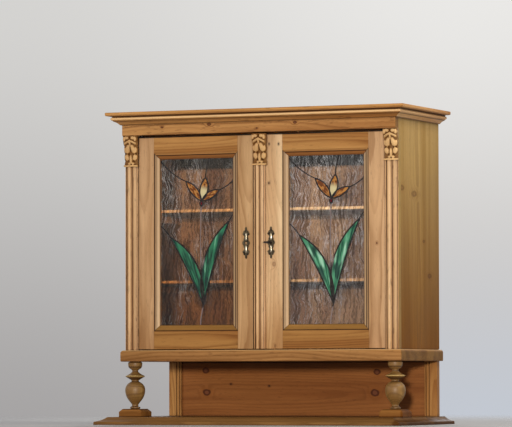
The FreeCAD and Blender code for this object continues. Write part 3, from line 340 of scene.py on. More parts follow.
# Light and shade on the glazing moulding's four sticks. A stripe has its distance inside the outer
# edge and its reach, in mm, how strongly it shows, and its colour. The lip lies further in on top
moulding = {
    "upright": (255, 250, 244),
    "low": (231, 203, 136),
    "high": {"outer": (252, 214, 156), "inner": (206, 160, 112), "step": (7.5, 8.5), "lip": 8.0},
    "stripes": {
        "glint": (15.5, 4.5, 0.4, (246, 204, 156)),
        "quirk": (10.5, 3.4, 0.75, shadeAndWaxColour),
        "lip": (1.2, 2.8, 0.95, shadeAndWaxColour),
        "sight": (21.5, 2.2, 0.7, shadeAndWaxColour),
    },
    "mitre": (1.4, 0.85),
}


def findSticks(tree, apart, middleX, middleZ, halfX, halfZ):
    # How far inside the moulding's outer edge a point lies, and which stick it is on
    insideX = calc(tree, "SUBTRACT", halfX * mm, gap(tree, apart["X"], middleX * mm))
    insideZ = calc(tree, "SUBTRACT", halfZ * mm, gap(tree, apart["Z"], middleZ * mm))
    return {
        "inside": calc(tree, "MINIMUM", insideX, insideZ),
        "level": calc(tree, "LESS_THAN", insideZ, insideX),
        "high": span(tree, apart["Z"], (middleZ - softEdge) * mm, (middleZ + softEdge) * mm),
        "right": calc(tree, "GREATER_THAN", apart["X"], middleX * mm),
        "mitre": gap(tree, insideX, insideZ),
    }


def shadeMoulding(tree, colour, sticks):
    inside, level, high = sticks["inside"], sticks["level"], moulding["high"]
    step = span(tree, inside, *(at * mm for at in high["step"]))
    highTone = blend(tree, step, tint(*high["outer"]), tint(*high["inner"]))
    levelTone = blend(tree, sticks["high"], tint(*moulding["low"]), highTone)
    tone = blend(tree, level, tint(*moulding["upright"]), levelTone)
    colour = blend(tree, 1.0, colour, tone, "MULTIPLY")
    upright = calc(tree, "SUBTRACT", 1.0, level)
    masks = {"glint": upright, "quirk": times(tree, upright, sticks["right"])}
    for kind, (at, reach, strength, paint) in moulding["stripes"].items():
        at *= mm
        if kind == "lip":
            onTop = times(tree, level, sticks["high"])
            at = calc(tree, "MULTIPLY_ADD", onTop, high["lip"] * mm - at, at)
        if kind in masks:
            strength = times(tree, masks[kind], strength)
        share = stripe(tree, gap(tree, inside, at), reach, strength)
        colour = blend(tree, share, colour, tint(*paint))
    return blend(tree, stripe(tree, sticks["mitre"], *moulding["mitre"]), colour, tint(*shadeAndWaxColour))


def board(name, tone, grain="z", pith=(0, 60, 0), faces="y", knots=(), nails=(), lines=(), slopes=(),
          hollow=None, mitred=None, upTo=None, nicks=0.0, knotStrength=1.0, knotShape=(0.75, 1, 1)):
    # pith is where the tree's centre line passes, in mm; faces is the axis that the face looks along.
    # A slope is an axis, where its tint begins, where it is full, and the tint: stains, and painted
    # light and shade.
    # Nails, lines and slopes end behind y = upTo, where one is given
    look = pineTones[tone]
    material, tree, shader, coords = newMaterial(f"{name}_pine")
    turn = Euler(grainTurn[grain]).to_matrix()
    shift = -(turn @ (Vector(pith) * mm))
    feeds = {"Vector": coords, "Location": shift, "Rotation": grainTurn[grain]}
    place = put(tree, "Mapping", feeds).outputs[0]
    apart = split(tree, coords)
    if mitred:
        sticks = findSticks(tree, apart, *mitred)
        flat = put(tree, "Mapping", {"Vector": coords, "Location": -Vector(pith) * mm}).outputs[0]
        place = put(tree, "Mix", {0: sticks["level"], 4: place, 5: flat}, data_type="VECTOR").outputs[1]
    through = turn @ faceAxis[faces]
    seen = Vector([0.0 if abs(part) > 0.5 else 1.0 for part in through])
    front = 1.0
    if upTo is not None:
        front = fall(tree, apart["Y"], (upTo - softEdge) * mm, (upTo + softEdge) * mm)
    bend, marks = 0.0, []
    for kind, spots in (("knot", knots), ("nail", nails)):
        for x, y, z, size in spots:
            spot = (turn @ (Vector((x, y, z)) * mm) + shift) * seen
            scale = Vector(knotShape) * seen / (size * mm)
            feeds = {"Vector": place, "Place": spot, "Scale": scale, "Size": size * mm * knotBend}
            masks = useGroup(tree, knotSpot, feeds)
            marks.append((kind, masks))
            if kind == "knot":
                bend = calc(tree, "ADD", masks["Bend"], bend)
    light, dark, line = look["wood"]
    growing = useGroup(tree, pineGrain, {
        "Vector": place,
        "Bend": bend,
        "Ring": look["ring"] * mm,
        "Contrast": look["contrast"],
        "Light": tint(*light),
        "Dark": tint(*dark),
        "Line": tint(*line),
    })
    colour, height = growing["Color"], growing["Height"]
    for kind, masks in marks:
        parts, shown = (knotLook, knotStrength) if kind == "knot" else (nailLook, front)
        for part, (paint, strength) in parts.items():
            share = times(tree, masks[part], strength, shown)
            colour = blend(tree, share, colour, tint(*paint))
        if kind == "nail":
            head = times(tree, masks["Core"], front)
            height = calc(tree, "MULTIPLY_ADD", head, nailDepth, height)
    if nicks:
        dents = cloud(tree, place, dent["stretch"], 2.0).outputs["Fac"]
        colour = blend(tree, span(tree, dents, *dent["range"], 0.0, nicks), colour, tint(*dentColour))
    # Old wax and painted shade, darkest where ambient occlusion finds a corner closed
    feeds = {"Distance": shadeAndWax["reach"] * mm}
    openness = put(tree, "AmbientOcclusion", feeds, samples=shadeAndWax["samples"]).outputs["AO"]
    left = times(tree, fall(tree, openness, *shadeAndWax["openness"]), shadeAndWax["share"])
    colour = blend(tree, left, colour, tint(*shadeAndWaxColour))
    if mitred:
        colour = shadeMoulding(tree, colour, sticks)
    # Painted lines: mostly painted shade in gaps, grooves and under things, some painted highlights
    for axis, at, width, strength, *paint in lines:
        drawn = stripe(tree, gap(tree, apart[axis], at * mm), width / 2, strength)
        paint = paint[0] if paint else shadeAndWaxColour
        colour = blend(tree, times(tree, front, drawn), colour, tint(*paint))
    # Carvings: old dirt and painted shade in the hollows, wear and a painted highlight on the high
    # places
    if hollow:
        depth = put(tree, "Attribute", attribute_name=hollow).outputs["Fac"]
        shadeAndDirt = times(tree, depth, carvingLook["shadeAndDirtShare"])
        colour = blend(tree, shadeAndDirt, colour, tint(*carvingLook["shadeAndDirt"]))
        worn = span(tree, depth, 0.0, carvingLook["highlightAndWearTo"], carvingLook["highlightAndWearShare"], 0.0)
        colour = blend(tree, worn, colour, tint(*carvingLook["worn"]))
    # Slopes: stains, and painted light and shade on the ends and lower parts of boards
    for axis, start, full, stain in slopes:
        share = times(tree, front, span(tree, apart[axis], start * mm, full * mm))
        colour = blend(tree, share, colour, tint(*stain), "MULTIPLY")
    feeds = {"Height": height, "Strength": pineFinish["bump"], "Distance": pineFinish["bumpDepth"]}
    feed(tree, shader, {
        "Base Color": colour,
        "Roughness": growing["Roughness"],
        "Normal": put(tree, "Bump", feeds).outputs[0],
        "Specular IOR Level": look.get("gloss", pineFinish["gloss"]),
        "Coat Weight": pineFinish["coat"],
        "Coat Roughness": pineFinish["coatRoughness"],
    })
    return material


def dress(node, material):
    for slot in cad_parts[node].material_slots:
        slot.material = material


# Painted lines along quirks and edges, mostly painted shade with some painted highlights: the axis
# across the line, its place and width in mm, how strongly it shows, and its colour where it isn't the
# shade-and-wax colour
# Painted highlight on reeds, painted shadow in gaps and under shelves, painted highlight on edges
reedHighlight, gapShadow, shelfShadow, edgeHighlight = (250, 212, 160), (12, 7, 4), (44, 34, 30), (226, 186, 130)
# The cornice front's painted highlights on the bead and crown, and painted shadows under the fillet and
# in the quirks
corniceHighlightsAndShadows = [
    (2, 1081, 9, 0.8, (250, 206, 148)), (2, 1098, 8, 0.4, (226, 164, 92)), (2, 1088.6, 5.4, 0.85),
    (2, 1072.6, 4, 0.7), (2, 1061, 4, 0.55),
]
# The cornice sides' painted highlight on the bead and painted shadows under the fillet and in the
# quirks
corniceSideHighlightsAndShadows = [
    (2, 1081, 9, 0.5, (226, 176, 120)), (2, 1088.6, 5.4, 0.6), (2, 1072.6, 4, 0.7), (2, 1061, 4, 0.55),
]
# Painted shadows in the column's grooves and under its disc, and a painted highlight on the disc's rim
columnHighlightsAndShadows = [
    (2, 62.6, 5, 0.8), (2, 151, 5, 0.7), (2, 162, 9, 0.7), (2, 188, 5, 0.6), (2, 203, 6, 0.7),
    (2, 171.4, 5, 0.7, (206, 174, 108)),
]
plinthLines = [(2, 54, 7, 0.55), (2, 28, 6, 0.6)]
# Painted shadow in the gap under the frieze, along the tops of the doors
gapShadowLine = (2, 1018, 13, 1.0, gapShadow)
leftRailEnds = [(0, -409, 2, 0.6), (0, -85, 2, 0.6)]
rightRailEnds = [(0, 85, 2, 0.6), (0, 409, 2, 0.6)]

# Painted light and shade that more than one board has, and where the faces of a door, the back and the
# panel end
# The right end faces take a yellow-olive tint for the light from the right, painted light
rightEndLight = (0, 519.4, 519.8, (217, 222, 166))
# The top of the cornice's sides darkened, painted shade
corniceTopShade = (2, 1085, 1092, (208, 190, 164))
doorFace, backFace, panelFace = -112, 262, 259

# Pine pieces, each with its tone and its marks. Mirrored pairs follow the table
boards = {
    # Worktop: its right end darkened where it faces up to the light, painted shade
    "worktop": {"tone": "worktop", "grain": "x", "pith": (0, 20, -60), "faces": "z",
                "slopes": [(0, 545, 556, (196, 176, 144))]},
    # Bottom board: a painted highlight along its top edge, and its right end tinted for the light from
    # the right
    "bottom_board": {"tone": "sill", "grain": "x", "pith": (0, 40, 320), "nicks": 0.25,
                     "lines": [(2, 261, 5, 0.55, edgeHighlight)],
                     "slopes": [(0, 532, 534, (215, 219, 196))]},
    # Left side: its inner face darkened, painted shade
    "side_left": {"tone": "sideLeft", "pith": (-600, 60, 0), "faces": "x",
                  "slopes": [(0, -508, -502, (118, 98, 80))]},
    # Right side: darker towards the bottom, partly the wood's tone and partly painted shade of light
    # falling off
    "side_right": {"tone": "side", "pith": (600, 60, 0), "faces": "x",
                   "slopes": [(2, 1150, 150, (185, 146, 82))],
                   "knots": [(520, -91, 819, 8), (520, 27, 803, 9),
                             (520, 176, 520, 7), (520, 120, 640, 4)],
                   "knotStrength": 0.4, "knotShape": (0.9, 0.4, 1)},
    "top_board": {"tone": "back", "grain": "x", "pith": (0, 60, 1120), "faces": "z"},
    # Frieze: its right end tinted for the light from the right, painted light
    "frieze_rail": {"tone": "cornice", "grain": "x", "pith": (0, -60, 1010), "nicks": 0.35,
                    "slopes": [rightEndLight],
                    "knots": [(-364, -150, 1048, 3.4), (-182, -150, 1054, 5),
                              (0, -150, 1036, 3), (145, -150, 1052, 4.4)]},
    # Cornice front: painted highlights and shadows along its profile
    "cornice_front": {"tone": "cornice", "grain": "x", "pith": (0, -90, 1040), "nicks": 0.45,
                      "lines": corniceHighlightsAndShadows},
    # Pilasters: painted highlights on the reeds and painted shade in the grooves; the right one's end
    # is tinted for the light from the right
    "pilaster_left": {"tone": "reeded", "pith": (-470, -40, 0), "nicks": 0.4,
                      "slopes": [(2, 400, 262, (232, 224, 218))],
                      "lines": [(0, -505.6, 10, 0.4, reedHighlight), (0, -484.8, 10, 0.4, reedHighlight),
                                (0, -516, 3, 0.7), (0, -495.2, 9, 0.7), (0, -474.5, 3, 0.7)]},
    "pilaster_right": {"tone": "reeded", "pith": (460, -30, 0), "nicks": 0.4,
                       "slopes": [rightEndLight, (2, 400, 262, (240, 232, 220))],
                       "lines": [(0, 505.6, 10, 0.4, reedHighlight), (0, 484.8, 10, 0.4, reedHighlight),
                                 (0, 474.5, 3, 0.7), (0, 495.2, 9, 0.7), (0, 516, 3, 0.7)]},
    # Shelves: their undersides and lower edges darkened, painted shade
    "shelf_lower": {"tone": "shelf", "grain": "x", "pith": (0, 100, 480),
                    "lines": [(2, 495, 11, 0.95, shelfShadow)]},
    "shelf_upper": {"tone": "shelf", "grain": "x", "pith": (0, 60, 790),
                    "lines": [(2, 746, 11, 0.95, shelfShadow)]},
    "shelf_cleats": {"tone": "back", "grain": "y", "pith": (0, 60, 500), "faces": "x"},
    "plinth_left": {"tone": "plinth", "grain": "x", "pith": (-495, -60, 20), "lines": plinthLines},
    # Right plinth: its end tinted for the light on it, painted light
    "plinth_right": {"tone": "plinth", "grain": "x", "pith": (495, -130, 30), "lines": plinthLines,
                     "slopes": [(0, 528, 532, (214, 196, 160))]},
    # Back: a painted shadow band at the top, and painted shadows under the shelves
    "back_planks": {"tone": "back", "pith": (30, 330, 0), "upTo": backFace,
                    "slopes": [(2, 917, 923, (56, 66, 78))],
                    "lines": [(2, 738, 22, 0.6, shelfShadow), (2, 487, 22, 0.6, shelfShadow)]},
    # Niche panel: a painted shadow along its top, under the bottom board
    "niche_panel": {"tone": "niche", "grain": "x", "pith": (0, 300, 100), "upTo": panelFace,
                    "lines": [(2, 223, 15, 0.85, gapShadow)],
                    "knots": [(-377, 254, 191, 9), (-373, 254, 112, 10),
                              (289, 254, 184, 9), (281, 254, 110, 11)],
                    "nails": [(-278, 254, 142, 2.6), (-128, 254, 135, 2.6)]},
    # Doors: stiles and top rails carry a painted shadow along their tops, in the gap under the frieze
    "left_hinge_stile": {"tone": "stile", "pith": (-450, -20, 0), "upTo": doorFace, "lines": [gapShadowLine],
                         "slopes": [(2, 460, 262, (222, 210, 194))]},
    "left_inner_stile": {"tone": "inner", "pith": (-40, -10, 0), "upTo": doorFace, "lines": [gapShadowLine],
                         "slopes": [(2, 400, 262, (234, 226, 214))]},
    "left_top_rail": {"tone": "rail", "grain": "x", "pith": (-250, -60, 1010), "upTo": doorFace,
                      "lines": leftRailEnds + [gapShadowLine]},
    "left_bottom_rail": {"tone": "railLow", "grain": "x", "pith": (-250, -50, 290),
                         "lines": leftRailEnds},
    "right_hinge_stile": {"tone": "stileRight", "pith": (430, -40, 0), "upTo": doorFace,
                          "lines": [gapShadowLine], "slopes": [(2, 400, 262, (236, 228, 220))],
                          "knots": [(439, -122, 628, 2.5)]},
    "right_inner_stile": {"tone": "pale", "pith": (80, -20, 0), "upTo": doorFace, "lines": [gapShadowLine],
                          "slopes": [(2, 520, 262, (212, 196, 172))],
                          "knots": [(53, -122, 561, 6), (56, -122, 275, 4)], "knotStrength": 0.4,
                          "nails": [(35, -122, 981, 2.4), (71, -122, 980, 2.4), (34, -122, 844, 2.4)]},
    "right_top_rail": {"tone": "rail", "grain": "x", "pith": (250, -50, 960), "upTo": doorFace,
                       "lines": rightRailEnds + [gapShadowLine]},
    "right_bottom_rail": {"tone": "railLow", "grain": "x", "pith": (250, -60, 330),
                          "lines": rightRailEnds},
    # Meeting strip: painted highlights on the reeds and painted shade in the grooves
    "meeting_strip": {"tone": "strip", "pith": (0, -90, 0), "nicks": 0.4,
                      "slopes": [(2, 400, 262, (232, 218, 202))],
                      "lines": [(0, -7.2, 9, 0.4, reedHighlight), (0, 9.2, 9, 0.4, reedHighlight),
                                (0, -15.5, 3, 0.7), (0, 1, 8, 0.7), (0, 17.5, 3, 0.7)]},
    "meeting_capital": {"tone": "carved", "pith": (30, -90, 0)},
    "capital_left": {"tone": "carved", "pith": (-470, -90, 0)},
    "capital_right": {"tone": "carvedPale", "pith": (470, -90, 0)},
    # Columns: painted shadows in the grooves and under the disc, and a painted highlight on the disc's
    # rim
    "column_left": {"tone": "turned", "pith": (-490, -92, 0), "lines": columnHighlightsAndShadows},
    "column_right": {"tone": "turned", "pith": (500, -98, 0), "lines": columnHighlightsAndShadows},
}
for side, hand in (("left", -1), ("right", 1)):
    # Cornice sides: painted highlights and shadows along the profile, and their top darkened, painted
    # shade
    boards[f"cornice_{side}"] = {
        "tone": "corniceSide", "grain": "y", "pith": (480 * hand, 0, 1060), "faces": "x",
        "lines": corniceSideHighlightsAndShadows, "slopes": [corniceTopShade],
    }
    boards[f"niche_stile_{side}"] = {"tone": "rail", "pith": (520 * hand, 300, 0)}
    boards[f"{side}_glazing_beads"] = {"tone": "rail", "pith": (250 * hand, -60, 0)}
    boards[f"{side}_glazing_moulding"] = {
        "tone": "bead", "pith": (330 * hand, -60, 560), "mitred": (247 * hand, 643.5, 162, 315),
    }
for name, facts in boards.items():
    dress(name, board(name, **facts))
print("pine dressed:", len(boards))


# Pieces made here in place of the frame's plain shapes
def keepPiece(name, shape, body, material, node=None):
    for face in shape.faces:
        face.smooth = True
    mesh = bpy.data.meshes.new(name)
    shape.to_mesh(mesh)
    shape.free()
    mesh.materials.append(material)
    piece = bpy.data.objects.new(name, mesh)
    scene.collection.objects.link(piece)
    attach(piece, body)
    if node:
        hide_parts(node)
    return piece


# Turned columns: radius and height above the plinth, in mm
column = {
    "steps": 40,
    "rounding": 1,
    "weld": 0.01,
    "profile": [
        (0, 0), (15.8, 0), (18.0, 1.4), (18.6, 4.2), (17.8, 7.0), (15.0, 8.4), (12.2, 9.6),
        (10.9, 12.6), (11.4, 16.2), (15.6, 21.5), (22.4, 29.2), (28.8, 38.6), (33.4, 49.0),
        (35.6, 59.4), (35.9, 69.4), (34.3, 77.2), (30.3, 84.6), (24.4, 90.6), (17.6, 94.8),
        (13.2, 96.8), (12.4, 99.0), (13.2, 101.4), (18.0, 104.4), (25.0, 108.2), (31.6, 112.4),
        (34.8, 114.6), (35.0, 116.2), (32.4, 117.6), (26.0, 120.4), (18.6, 124.6), (12.6, 129.6),
        (10.0, 133.6), (10.6, 137.0), (15.4, 140.2), (20.8, 143.4), (24.2, 148.6), (25.4, 154.6),
        (25.5, 161.0), (25.2, 166.9), (0, 166.9),
    ],
}


def turnColumn(side):
    name = f"column_{side}"
    low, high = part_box(name)
    axis = (low + high) / 2
    shape = bmesh.new()
    ring = [
        shape.verts.new((axis.x + out * mm, axis.y, low.z + up * mm))
        for out, up in column["profile"]
    ]
    edges = [shape.edges.new(pair) for pair in zip(ring, ring[1:])]
    bmesh.ops.spin(
        shape, geom=ring + edges, cent=(axis.x, axis.y, 0), axis=(0, 0, 1), dvec=(0, 0, 0),
        angle=2 * math.pi, steps=column["steps"], use_merge=True, use_duplicate=False,
    )
    bmesh.ops.remove_doubles(shape, verts=shape.verts, dist=column["weld"] * mm)
    bmesh.ops.recalc_face_normals(shape, faces=shape.faces)
    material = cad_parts[name].material_slots[0].material
    piece = keepPiece(f"turnedColumn_{side}", shape, "carcass", material, name)
    finish = piece.modifiers.new("roundOff", "SUBSURF")
    finish.levels = finish.render_levels = column["rounding"]


for side in ("left", "right"):
    turnColumn(side)
print("columns turned")

# Cornice: how far out and how high each point lies, in mm from the frieze and the cornice's foot
cornice = {
    "profile": [
        (0, 0), (6, 0), (8.2, 3), (12, 6.6), (17, 9.6), (22.6, 11.8), (24.4, 12.8), (24.6, 14.8),
        (28.4, 16.0), (31.0, 18.4), (31.6, 21.2), (30.4, 24.2), (28.2, 26.2), (26.6, 27.0),
        (26.4, 30.2), (42.6, 30.8), (45.0, 32.2), (46, 34.6), (46, 40.6), (44.6, 43), (0, 43),
    ],
    "smooth": math.radians(38),
}


def runCornice(name, start, end):
    # Each corner of the run is given as x, y, and how x and how y go out from there
    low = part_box(name)[0]
    shape = bmesh.new()
    (x, y, outX, outY), (farX, farY, farOutX, farOutY) = start, end
    ring = [
        shape.verts.new((x + outX * out * mm, y + outY * out * mm, low.z + up * mm))
        for out, up in cornice["profile"]
    ]
    outline = shape.faces.new(ring)
    grown = bmesh.ops.extrude_face_region(shape, geom=[outline], use_keep_orig=True)["geom"]
    for vert in [item for item in grown if isinstance(item, bmesh.types.BMVert)]:
        out = (vert.co.x - x) / outX if outX else (vert.co.y - y) / outY
        vert.co.x, vert.co.y = farX + farOutX * out, farY + farOutY * out
    bmesh.ops.recalc_face_normals(shape, faces=shape.faces)
    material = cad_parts[name].material_slots[0].material
    piece = keepPiece(f"moulded_{name}", shape, "carcass", material, name)
    piece.data.set_sharp_from_angle(angle=cornice["smooth"])


low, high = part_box("frieze_rail")
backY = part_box("cornice_left")[1].y
runCornice("cornice_front", (low.x, low.y, -1, -1), (high.x, low.y, 1, -1))
for name, x, hand in (("cornice_left", low.x, -1), ("cornice_right", high.x, 1)):
    runCornice(name, (x, low.y, hand, -1), (x, backY, hand, 0))
print("cornice run")

# Carved capitals: a leaf of two halves with lobes and a stem, under two arms and scrolls, on a ledge.
# Sizes in mm, from the middle of the foot, with the right half given and the left mirrored.
# The ground is a table of heights and how far out they lie. A dome has its middle, half sizes, rise
# and lean, and a pit its place and size
capital = {
    "across": 60, "up": 124,
    "ground": [(0, 9), (6.2, 9), (6.6, 3), (30, 4), (55, 7), (76, 12), (90, 17), (104, 18), (107, 21),
               (110, 21)],
    "ledge": {"high": 6.2, "reach": 12.0, "above": 1.8, "below": 1.6, "round": 1.2},
    "domes": [
        ((10.5, 62), (9.5, 17), 9.5, -0.2), ((15.5, 33), (9.0, 12.5), 8.0, 0.15),
        ((0, 26), (5.5, 17), 10.0, 0.0), ((0, 82), (4.2, 10), 9.0, 0.0),
        ((20.5, 59), (4.5, 11), 6.0, 0.1), ((11.5, 102), (9.5, 6.5), 5.0, 0.0),
        ((21.0, 98), (5.5, 9), 6.0, 0.0), ((7.0, 11), (6.0, 6), 5.0, 0.0),
    ],
    "arm": {"top": 92.5, "fall": 0.5, "half": 4.6, "rise": 7.0, "reach": 25},
    "fullness": 0.4,
    "pits": [(10.0, 46, 3.6), (10.6, 20.5, 3.6), (20.5, 45, 2.6),
             (0, 57, 2.2), (0, 62, 2.2), (0, 67, 2.2), (0, 103, 3.0)],
    "pitDepth": 5.0,
    "notch": {"low": 12, "high": 84, "pitch": 26, "first": 46, "depth": 2.2},
    "soften": 0.4,
    "hollow": {"below": 4, "edge": 0.3},
    "pith": (25, -40),
}


def fromTable(table, value):
    for (low, first), (high, second) in zip(table, table[1:]):
        if value <= high:
            return first + (second - first) * (value - low) / (high - low)
    return table[-1][1]


def swell(off):
    return max(0, 1 - off ** 2) ** capital["fullness"]


def domeRise(x, z, dome):
    (middleX, middleZ), (halfX, halfZ), rise, lean = dome
    return rise * swell(math.hypot((x - middleX - lean * (z - middleZ)) / halfX, (z - middleZ) / halfZ))


def carvedRise(x, z):
    across = abs(x)
    ledge, arm = capital["ledge"], capital["arm"]
    if z <= ledge["high"]:
        over = max(0, (z - ledge["high"] + ledge["above"]) / ledge["above"]) ** 2
        under = max(0, (ledge["below"] - z) / ledge["below"]) ** 2
        return ledge["reach"] - ledge["round"] * (over + under)
    rises = [domeRise(across, z, dome) for dome in capital["domes"]]
    fade = max(0, 1 - (across / arm["reach"]) ** 6)
    rises.append(arm["rise"] * swell((z - arm["top"] + arm["fall"] * across) / arm["half"]) * fade)
    top = max(rises)
    for pitX, pitZ, size in capital["pits"]:
        top -= capital["pitDepth"] * math.exp(-((math.hypot(across - pitX, z - pitZ) / size) ** 2))
    return fromTable(capital["ground"], z) + top


def notched(z):
    notch = capital["notch"]
    if not notch["low"] < z < notch["high"]:
        return 0.0
    share = 0.5 + 0.5 * math.cos(2 * math.pi * (z - notch["first"]) / notch["pitch"])
    return notch["depth"] * share ** 3


def carveCapital(name, node, body):
    low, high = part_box(node)
    middle = (low.x + high.x) / 2
    halfWide, tall = (high.x - low.x) / 2, high.z - low.z
    hollow = capital["hollow"]
    shape = bmesh.new()
    bmesh.ops.create_grid(shape, x_segments=capital["across"], y_segments=capital["up"], size=0.5)
    depths = shape.verts.layers.float.new("hollow")
    deepest = (high.y - low.y) / mm
    for vert in shape.verts:
        x, z = vert.co.x * 2 * halfWide / mm, (vert.co.y + 0.5) * tall / mm
        rise = min(carvedRise(x, z), deepest)
        if z > capital["ledge"]["high"]:
            x *= 1 - notched(z) * mm / halfWide
            risen = rise - fromTable(capital["ground"], z)
            vert[depths] = max(0.0, min(1.0, 1 - risen / hollow["below"]))
        vert.co = (middle + x * mm, high.y - rise * mm, low.z + z * mm)
    inner = [vert for vert in shape.verts if not vert.is_boundary]
    bmesh.ops.smooth_vert(shape, verts=inner, factor=capital["soften"],
                          use_axis_x=False, use_axis_y=True, use_axis_z=False)
    rim = [edge for edge in shape.edges if edge.is_boundary]
    wall = bmesh.ops.extrude_edge_only(shape, edges=rim)["geom"]
    for vert in [item for item in wall if isinstance(item, bmesh.types.BMVert)]:
        vert.co.y = high.y
        vert[depths] = hollow["edge"]
    bmesh.ops.holes_fill(shape, edges=[edge for edge in shape.edges if edge.is_boundary], sides=0)
    bmesh.ops.recalc_face_normals(shape, faces=shape.faces)
    pithX, pithY = capital["pith"]
    pith = (middle / mm + pithX, pithY, 0)
    material = board(name, boards[node]["tone"], pith=pith, hollow="hollow")
    keepPiece(name, shape, body, material, node)


for name, node, body in (
    ("carvedCapital_left", "capital_left", "carcass"),
    ("carvedCapital_right", "capital_right", "carcass"),
    ("carvedCapital_middle", "meeting_capital", "right_door"),
):
    carveCapital(name, node, body)
print("capitals carved")

# Water glass: each cloud's scale along x, y and z, per metre, and what it does. Over the heights
# of the foot, in metres, the glass loses the foot's stain
waterGlass = {
    "sway": (11, 3, 17), "swayReach": (0.045, 0, 0.03),
    "streaks": (95, 10, 9),
    "seeds": (260, 20, 70), "seedHeight": 0.3, "seedShare": 0.35,
    "bump": 0.6, "bumpDepth": 0.0012,
    "smoke": (0.4, 0.58), "foot": (0.35, 0.8),
    "ripple": (0.006, 0.028), "patch": (11, 3, 4), "patchSoft": 0.2,
    "shader": {"Coat IOR": 3.0, "Coat Roughness": 0.1, "Roughness": 0.05, "IOR": 1.45,
               "Transmission Weight": 0.992},
    "film": (0.95, 0.95, 0.93, 1),
}


def letLampsThrough(tree, shader, film):
    mixed = put(tree, "MixShader", {
        0: put(tree, "LightPath").outputs["Is Shadow Ray"],
        1: shader.outputs[0],
        2: put(tree, "BsdfTransparent", {"Color": film}).outputs[0],
    })
    tree.links.new(mixed.outputs[0], tree.nodes["Material Output"].inputs["Surface"])


def clearGlass(name, middle, dull, clear, foot, patchy):
    material, tree, shader, coords = newMaterial(name)
    place = put(tree, "Mapping", {"Vector": coords, "Location": (-middle * mm, 0, 0)}).outputs[0]
    swayed = wander(tree, place, waterGlass["sway"], 2.0, waterGlass["swayReach"])
    streaks = cloud(tree, swayed, waterGlass["streaks"], 3.0, 0.6).outputs["Fac"]
    seeds = cloud(tree, swayed, waterGlass["seeds"], 2.0).outputs["Fac"]
    height = calc(tree, "MULTIPLY_ADD", seeds, waterGlass["seedHeight"], streaks)
    feeds = {"Height": height, "Strength": waterGlass["bump"], "Distance": waterGlass["bumpDepth"]}
    bump = put(tree, "Bump", feeds).outputs[0]
    share = waterGlass["seedShare"]
    smoke = calc(tree, "MULTIPLY_ADD", seeds, share, times(tree, streaks, 1 - share))
    colour = blend(tree, span(tree, smoke, *waterGlass["smoke"]), tint(*dull), tint(*clear))
    rising = span(tree, split(tree, coords)["Z"], *waterGlass["foot"])
    colour = blend(tree, 1.0, colour, blend(tree, rising, tint(*foot), (1, 1, 1, 1)), "MULTIPLY")
    ripple = fall(tree, gap(tree, streaks, 0.5), *waterGlass["ripple"])
    patch = cloud(tree, place, waterGlass["patch"]).outputs["Fac"]
    patch = span(tree, patch, patchy, patchy + waterGlass["patchSoft"])
    feeds = {"Base Color": colour, "Normal": bump, "Coat Weight": times(tree, ripple, patch)}
    feed(tree, shader, feeds | waterGlass["shader"])
    letLampsThrough(tree, shader, waterGlass["film"])
    return material


# The panes: the x of a pane's middle; its clear glass, dull, bright and at the foot, and where its
# patches begin; its leaves from dark to light; and the seeds, which only shift a pattern
panes = {
    "left": {"middle": -247, "glass": ((160, 146, 128), (232, 218, 196), (214, 190, 158), 0.44),
             "leaf": ((14, 62, 46), (52, 130, 92), (132, 200, 164)),
             "petalSeed": 0.7, "leafSeed": 1.4},
    "right": {"middle": 247, "glass": ((184, 180, 176), (246, 250, 252), (228, 228, 230), 0.36),
              "leaf": ((24, 84, 60), (84, 160, 118), (160, 216, 182)),
              "petalSeed": 5.2, "leafSeed": 3.9},
}

# The flower: where its heart and root lie from a pane's middle, and how its glass fans out from there
flower = {
    "heart": (18, 787), "root": (25, 421), "stem": 21,
    "petal": {"fan": (7.0, 70.0), "swirl": (0.44, 0.56), "colours": ((196, 132, 58), (122, 66, 26)),
              "bump": 0.25, "bumpDepth": 0.0006, "roughness": 0.2, "glow": 0.2},
    "cream": {"from": (-0.35, -0.1), "to": (0.45, 0.7), "radius": (0.035, 0.06),
              "colour": (228, 212, 160)},
    "bud": {"below": (-0.004, 0.002), "colour": (112, 10, 30)},
    "leaf": {"fan": (16.0, 9.0), "dark": (0.36, 0.56), "light": (0.56, 0.68), "bump": 0.5,
             "bumpDepth": 0.001, "roughness": 0.12, "glow": 0.15},
    "patch": {"stretch": (0.35, 1.6, 1), "range": (0.44, 0.64), "share": 0.85, "colour": (10, 46, 44)},
}

# The lead carries a painted reflection, pale, where the stem shows, above the leaves and below the
# root.
# Heights and the reach beside the stem are in metres
leadReflection = {
    "top": (0.762, 0.768), "leaves": (0.54, 0.58), "root": (0.405, 0.415), "beside": (0.007, 0.009),
    "share": 0.7, "colour": (150, 132, 128),
}
patinaLook = {"cloud": (90, 90, 90), "range": (0.35, 0.65), "bump": 0.4}


